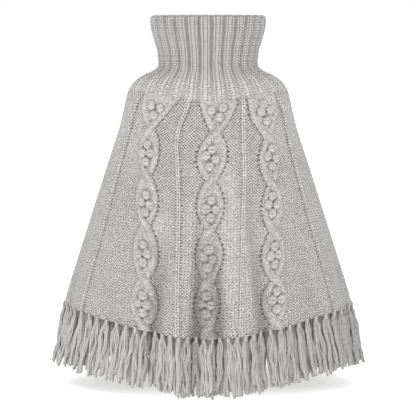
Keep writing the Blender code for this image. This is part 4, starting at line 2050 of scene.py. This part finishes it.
# --------------------------------------------------------------------------- the studio
@dataclass(frozen=True)
class Lamp:
    """A soft square lamp: its name, place and size in metres, and its power in watts."""

    name: str
    place: Tuple[float, float, float]
    size: float
    power: float


@dataclass
class Studio:
    """Floor, lights and camera."""

    floor_height: float = -0.509
    floor_half: float = 30.0
    camera_at: Tuple[float, float, float] = (0.0, -3.10, 0.037)
    look_at: Tuple[float, float, float] = (0.0, 0.0, -0.227)
    view_angle: float = 12.211
    sensor: float = 36.0
    clip: Tuple[float, float] = (0.05, 100.0)
    world: float = 1.0
    lamps: Tuple[Lamp, ...] = (Lamp("key", (-1.3, -2.6, 2.0), 1.2, 24.0),
                               Lamp("fill", (1.8, -2.4, 0.9), 1.6, 4.0),
                               Lamp("top", (0.0, -0.4, 2.6), 1.6, 8.0))

    def floor(self, finish: FloorFinish) -> None:
        """Lay the floor.

        Args:
            finish: its finish.
        """
        half, low = self.floor_half, self.floor_height
        mesh = bpy.data.meshes.new("floor")
        mesh.from_pydata([(-half, -half, low), (half, -half, low), (half, half, low),
                          (-half, half, low)], [], [(0, 1, 2, 3)])
        mesh.materials.append(finish.material())
        obj = bpy.data.objects.new("floor", mesh)
        bpy.context.scene.collection.objects.link(obj)

    def aim(self, name: str, data: bpy.types.ID,
            place: Tuple[float, float, float]) -> bpy.types.Object:
        """Set up a lamp or camera that faces the garment.

        Args:
            name: the object's name.
            data: the lamp's or camera's own settings.
            place: where it stands.

        Returns:
            The object, in the scene.
        """
        obj = bpy.data.objects.new(name, data)
        obj.location = place
        aim = Vector(self.look_at) - obj.location
        obj.rotation_euler = aim.to_track_quat("-Z", "Y").to_euler()
        bpy.context.scene.collection.objects.link(obj)
        return obj

    def build(self) -> None:
        """Build the whole studio."""
        scene = bpy.context.scene
        scene.view_settings.view_transform = "Standard"
        scene.world = bpy.data.worlds.new("studio_air")
        scene.world.use_nodes = True
        air = scene.world.node_tree.nodes["Background"].inputs
        air["Color"].default_value = (1.0, 1.0, 1.0, 1.0)
        air["Strength"].default_value = self.world
        self.floor(FloorFinish())
        for lamp in self.lamps:
            light = bpy.data.lights.new(lamp.name, "AREA")
            light.size, light.energy = lamp.size, lamp.power
            self.aim(lamp.name, light, lamp.place)
        camera = bpy.data.cameras.new("camera")
        camera.sensor_width = self.sensor
        camera.lens = 0.5 * self.sensor / math.tan(math.radians(0.5 * self.view_angle))
        camera.clip_start, camera.clip_end = self.clip
        scene.camera = self.aim("camera", camera, self.camera_at)


# ----------------------------------------------------------------- this garment's wales
LEFT_CABLE = Wale(
    ((135, -39.2), (187, -39.2), (225, -37.9), (261, -35.4), (337, -31.0),
     (410, -28.1), (487, -25.5)),
    Crossings((Diamond(187, 13.0, 3.2, -2.9, 1.5), Diamond(259, 14.0, 5.6, -0.6, -1.6),
               Diamond(331, 15.0, 3.3, -2.6, 1.5), Diamond(412, 16.0, 1.7, -1.3, 0.0)),
              481.0, Mouth((17.0, 0.5, 0.7), (35.0, 1.0, 1.05),
                           ((-5.0, 153.0), (12.0, 154.5), (3.5, 166.5)),
                           ((3.5, 158.0, 0.9), (-7.0, 163.0, 0.8), (-2.5, 177.0, 0.8))),
              (Lean.FROM_RIGHT, Lean.FROM_LEFT), (0.15, 0.95)))
MIDDLE_CABLE = Wale(
    ((135, 4.5), (184, 4.5), (220, 2.4), (258, 1.4), (328, 0.9), (400, 0.2),
     (460, -0.6), (487, 0.6)),
    Crossings((Diamond(184, 17.2, 1.3, -1.9, -2.9), Diamond(256, 15.0, 4.8, 1.3, -1.0),
               Diamond(328, 15.2, 3.8, -1.7, -2.7), Diamond(402.5, 13.6, -0.9, -1.4, -0.5)),
              472.0, Mouth((19.0, 1.0, 0.8), (29.0, 0.8, 0.8),
                           ((-4.0, 149.0), (13.3, 146.0), (6.3, 160.5)),
                           ((5.2, 151.8, 0.95), (-4.0, 162.0, 0.9), (0.5, 170.5, 0.9))),
              (Lean.FROM_RIGHT,), (0.85, 0.9)))
RIGHT_CABLE = Wale(
    ((135, 40.5), (202, 40.5), (232, 38.2), (269, 36.4), (338, 32.6), (412, 29.3),
     (487, 26.8)),
    Crossings((Diamond(201, 12.6, -3.8, 4.0, -3.4), Diamond(272.5, 13.0, -3.5, -0.7, -1.5),
               Diamond(341.5, 14.4, 0.9, 0.4, -0.3), Diamond(412.5, 14.4, -0.9, 2.1, -1.4)),
              476.0, Mouth((20.0, 0.5, 0.8), (20.0, 0.5, 0.8),
                           ((0.8, 150.5), (-5.9, 161.5), (10.0, 162.0), (1.7, 176.5)),
                           ((1.7, 162.6, 0.7), (-1.5, 169.5, 0.95), (4.0, 187.0, 0.8))),
              pinhole_shades=(0.95, 0.15)))
OUTER_LEFT = Wale(((134, -52.5), (148, -57.0), (161, -59.5), (190, -60.5),
                   (300, -59.6), (487, -59.3)))
INNER_LEFT = Wale(((135, -13.7), (156, -15.6), (172, -18.4), (200, -19.9),
                   (222, -18.6), (286, -15.4), (352, -13.9), (487, -11.6)))
INNER_RIGHT = Wale(((135, 25.5), (198, 22.8), (251, 20.8), (317, 17.5),
                    (406, 14.3), (487, 12.3)), bold=0.45)
OUTER_RIGHT = Wale(((131, 53.0), (146, 57.0), (161, 61.0), (190, 61.2),
                    (218, 59.7), (296, 58.5), (487, 59.3)))
CALM = tuple(Calm(*row) for row in (
    (11.0, 8.0, 330.0, 170.0, 0.55), (-50.0, 9.0, 215.0, 48.0, 0.5),
    (-24.0, 7.0, 340.0, 48.0, 0.55), (-7.0, 6.0, 350.0, 110.0, 0.4),
    (25.0, 7.0, 390.0, 80.0, 0.4), (48.0, 9.0, 195.0, 50.0, 0.5),
    (-72.0, 12.0, 190.0, 60.0, 0.5), (72.0, 12.0, 190.0, 60.0, 0.5)))
FRONT_WALES = (OUTER_LEFT, LEFT_CABLE, INNER_LEFT, MIDDLE_CABLE, INNER_RIGHT,
               RIGHT_CABLE, OUTER_RIGHT)
BACK_WALES = tuple(wale.behind() for wale in FRONT_WALES)


def main() -> None:
    """Build and dress every piece, then the studio."""
    logging.basicConfig(level=logging.INFO, format="%(name)s: %(message)s")
    quarter = 0.25 * TAU
    rib = KnitFinish("wool_rib", (0.54, 0.533, 0.519), wander=0.1, purl_shade=2.8,
                     knit_shade=2.05, leg_highlight=0.0, speckle=0.7)
    body = KnitFinish("wool_body", (0.47, 0.464, 0.452))
    yarn = YarnFinish("wool_yarn", (0.43, 0.424, 0.411))

    collar = Collar().build(rib)
    dress(collar, "rib_knit", "collar_yoke")
    front = Panel("front_panel", FRONT_WALES, CALM, -quarter, quarter,
                  seed=3).build(body)
    dress(front, "body_knit", "front_panel")
    back = Panel("back_panel", BACK_WALES, CALM, quarter, 3 * quarter,
                 seed=4).build(body)
    dress(back, "body_knit", "back_panel")
    fringe_front = Fringe("fringe_front", -quarter, quarter, seed=7).build(yarn)
    dress(fringe_front, "fringe_yarn", "fringe_front")
    fringe_back = Fringe("fringe_back", quarter, 3 * quarter, seed=8).build(yarn)
    dress(fringe_back, "fringe_yarn", "fringe_back")

    Studio().build()


if __name__ == "__main__":
    main()
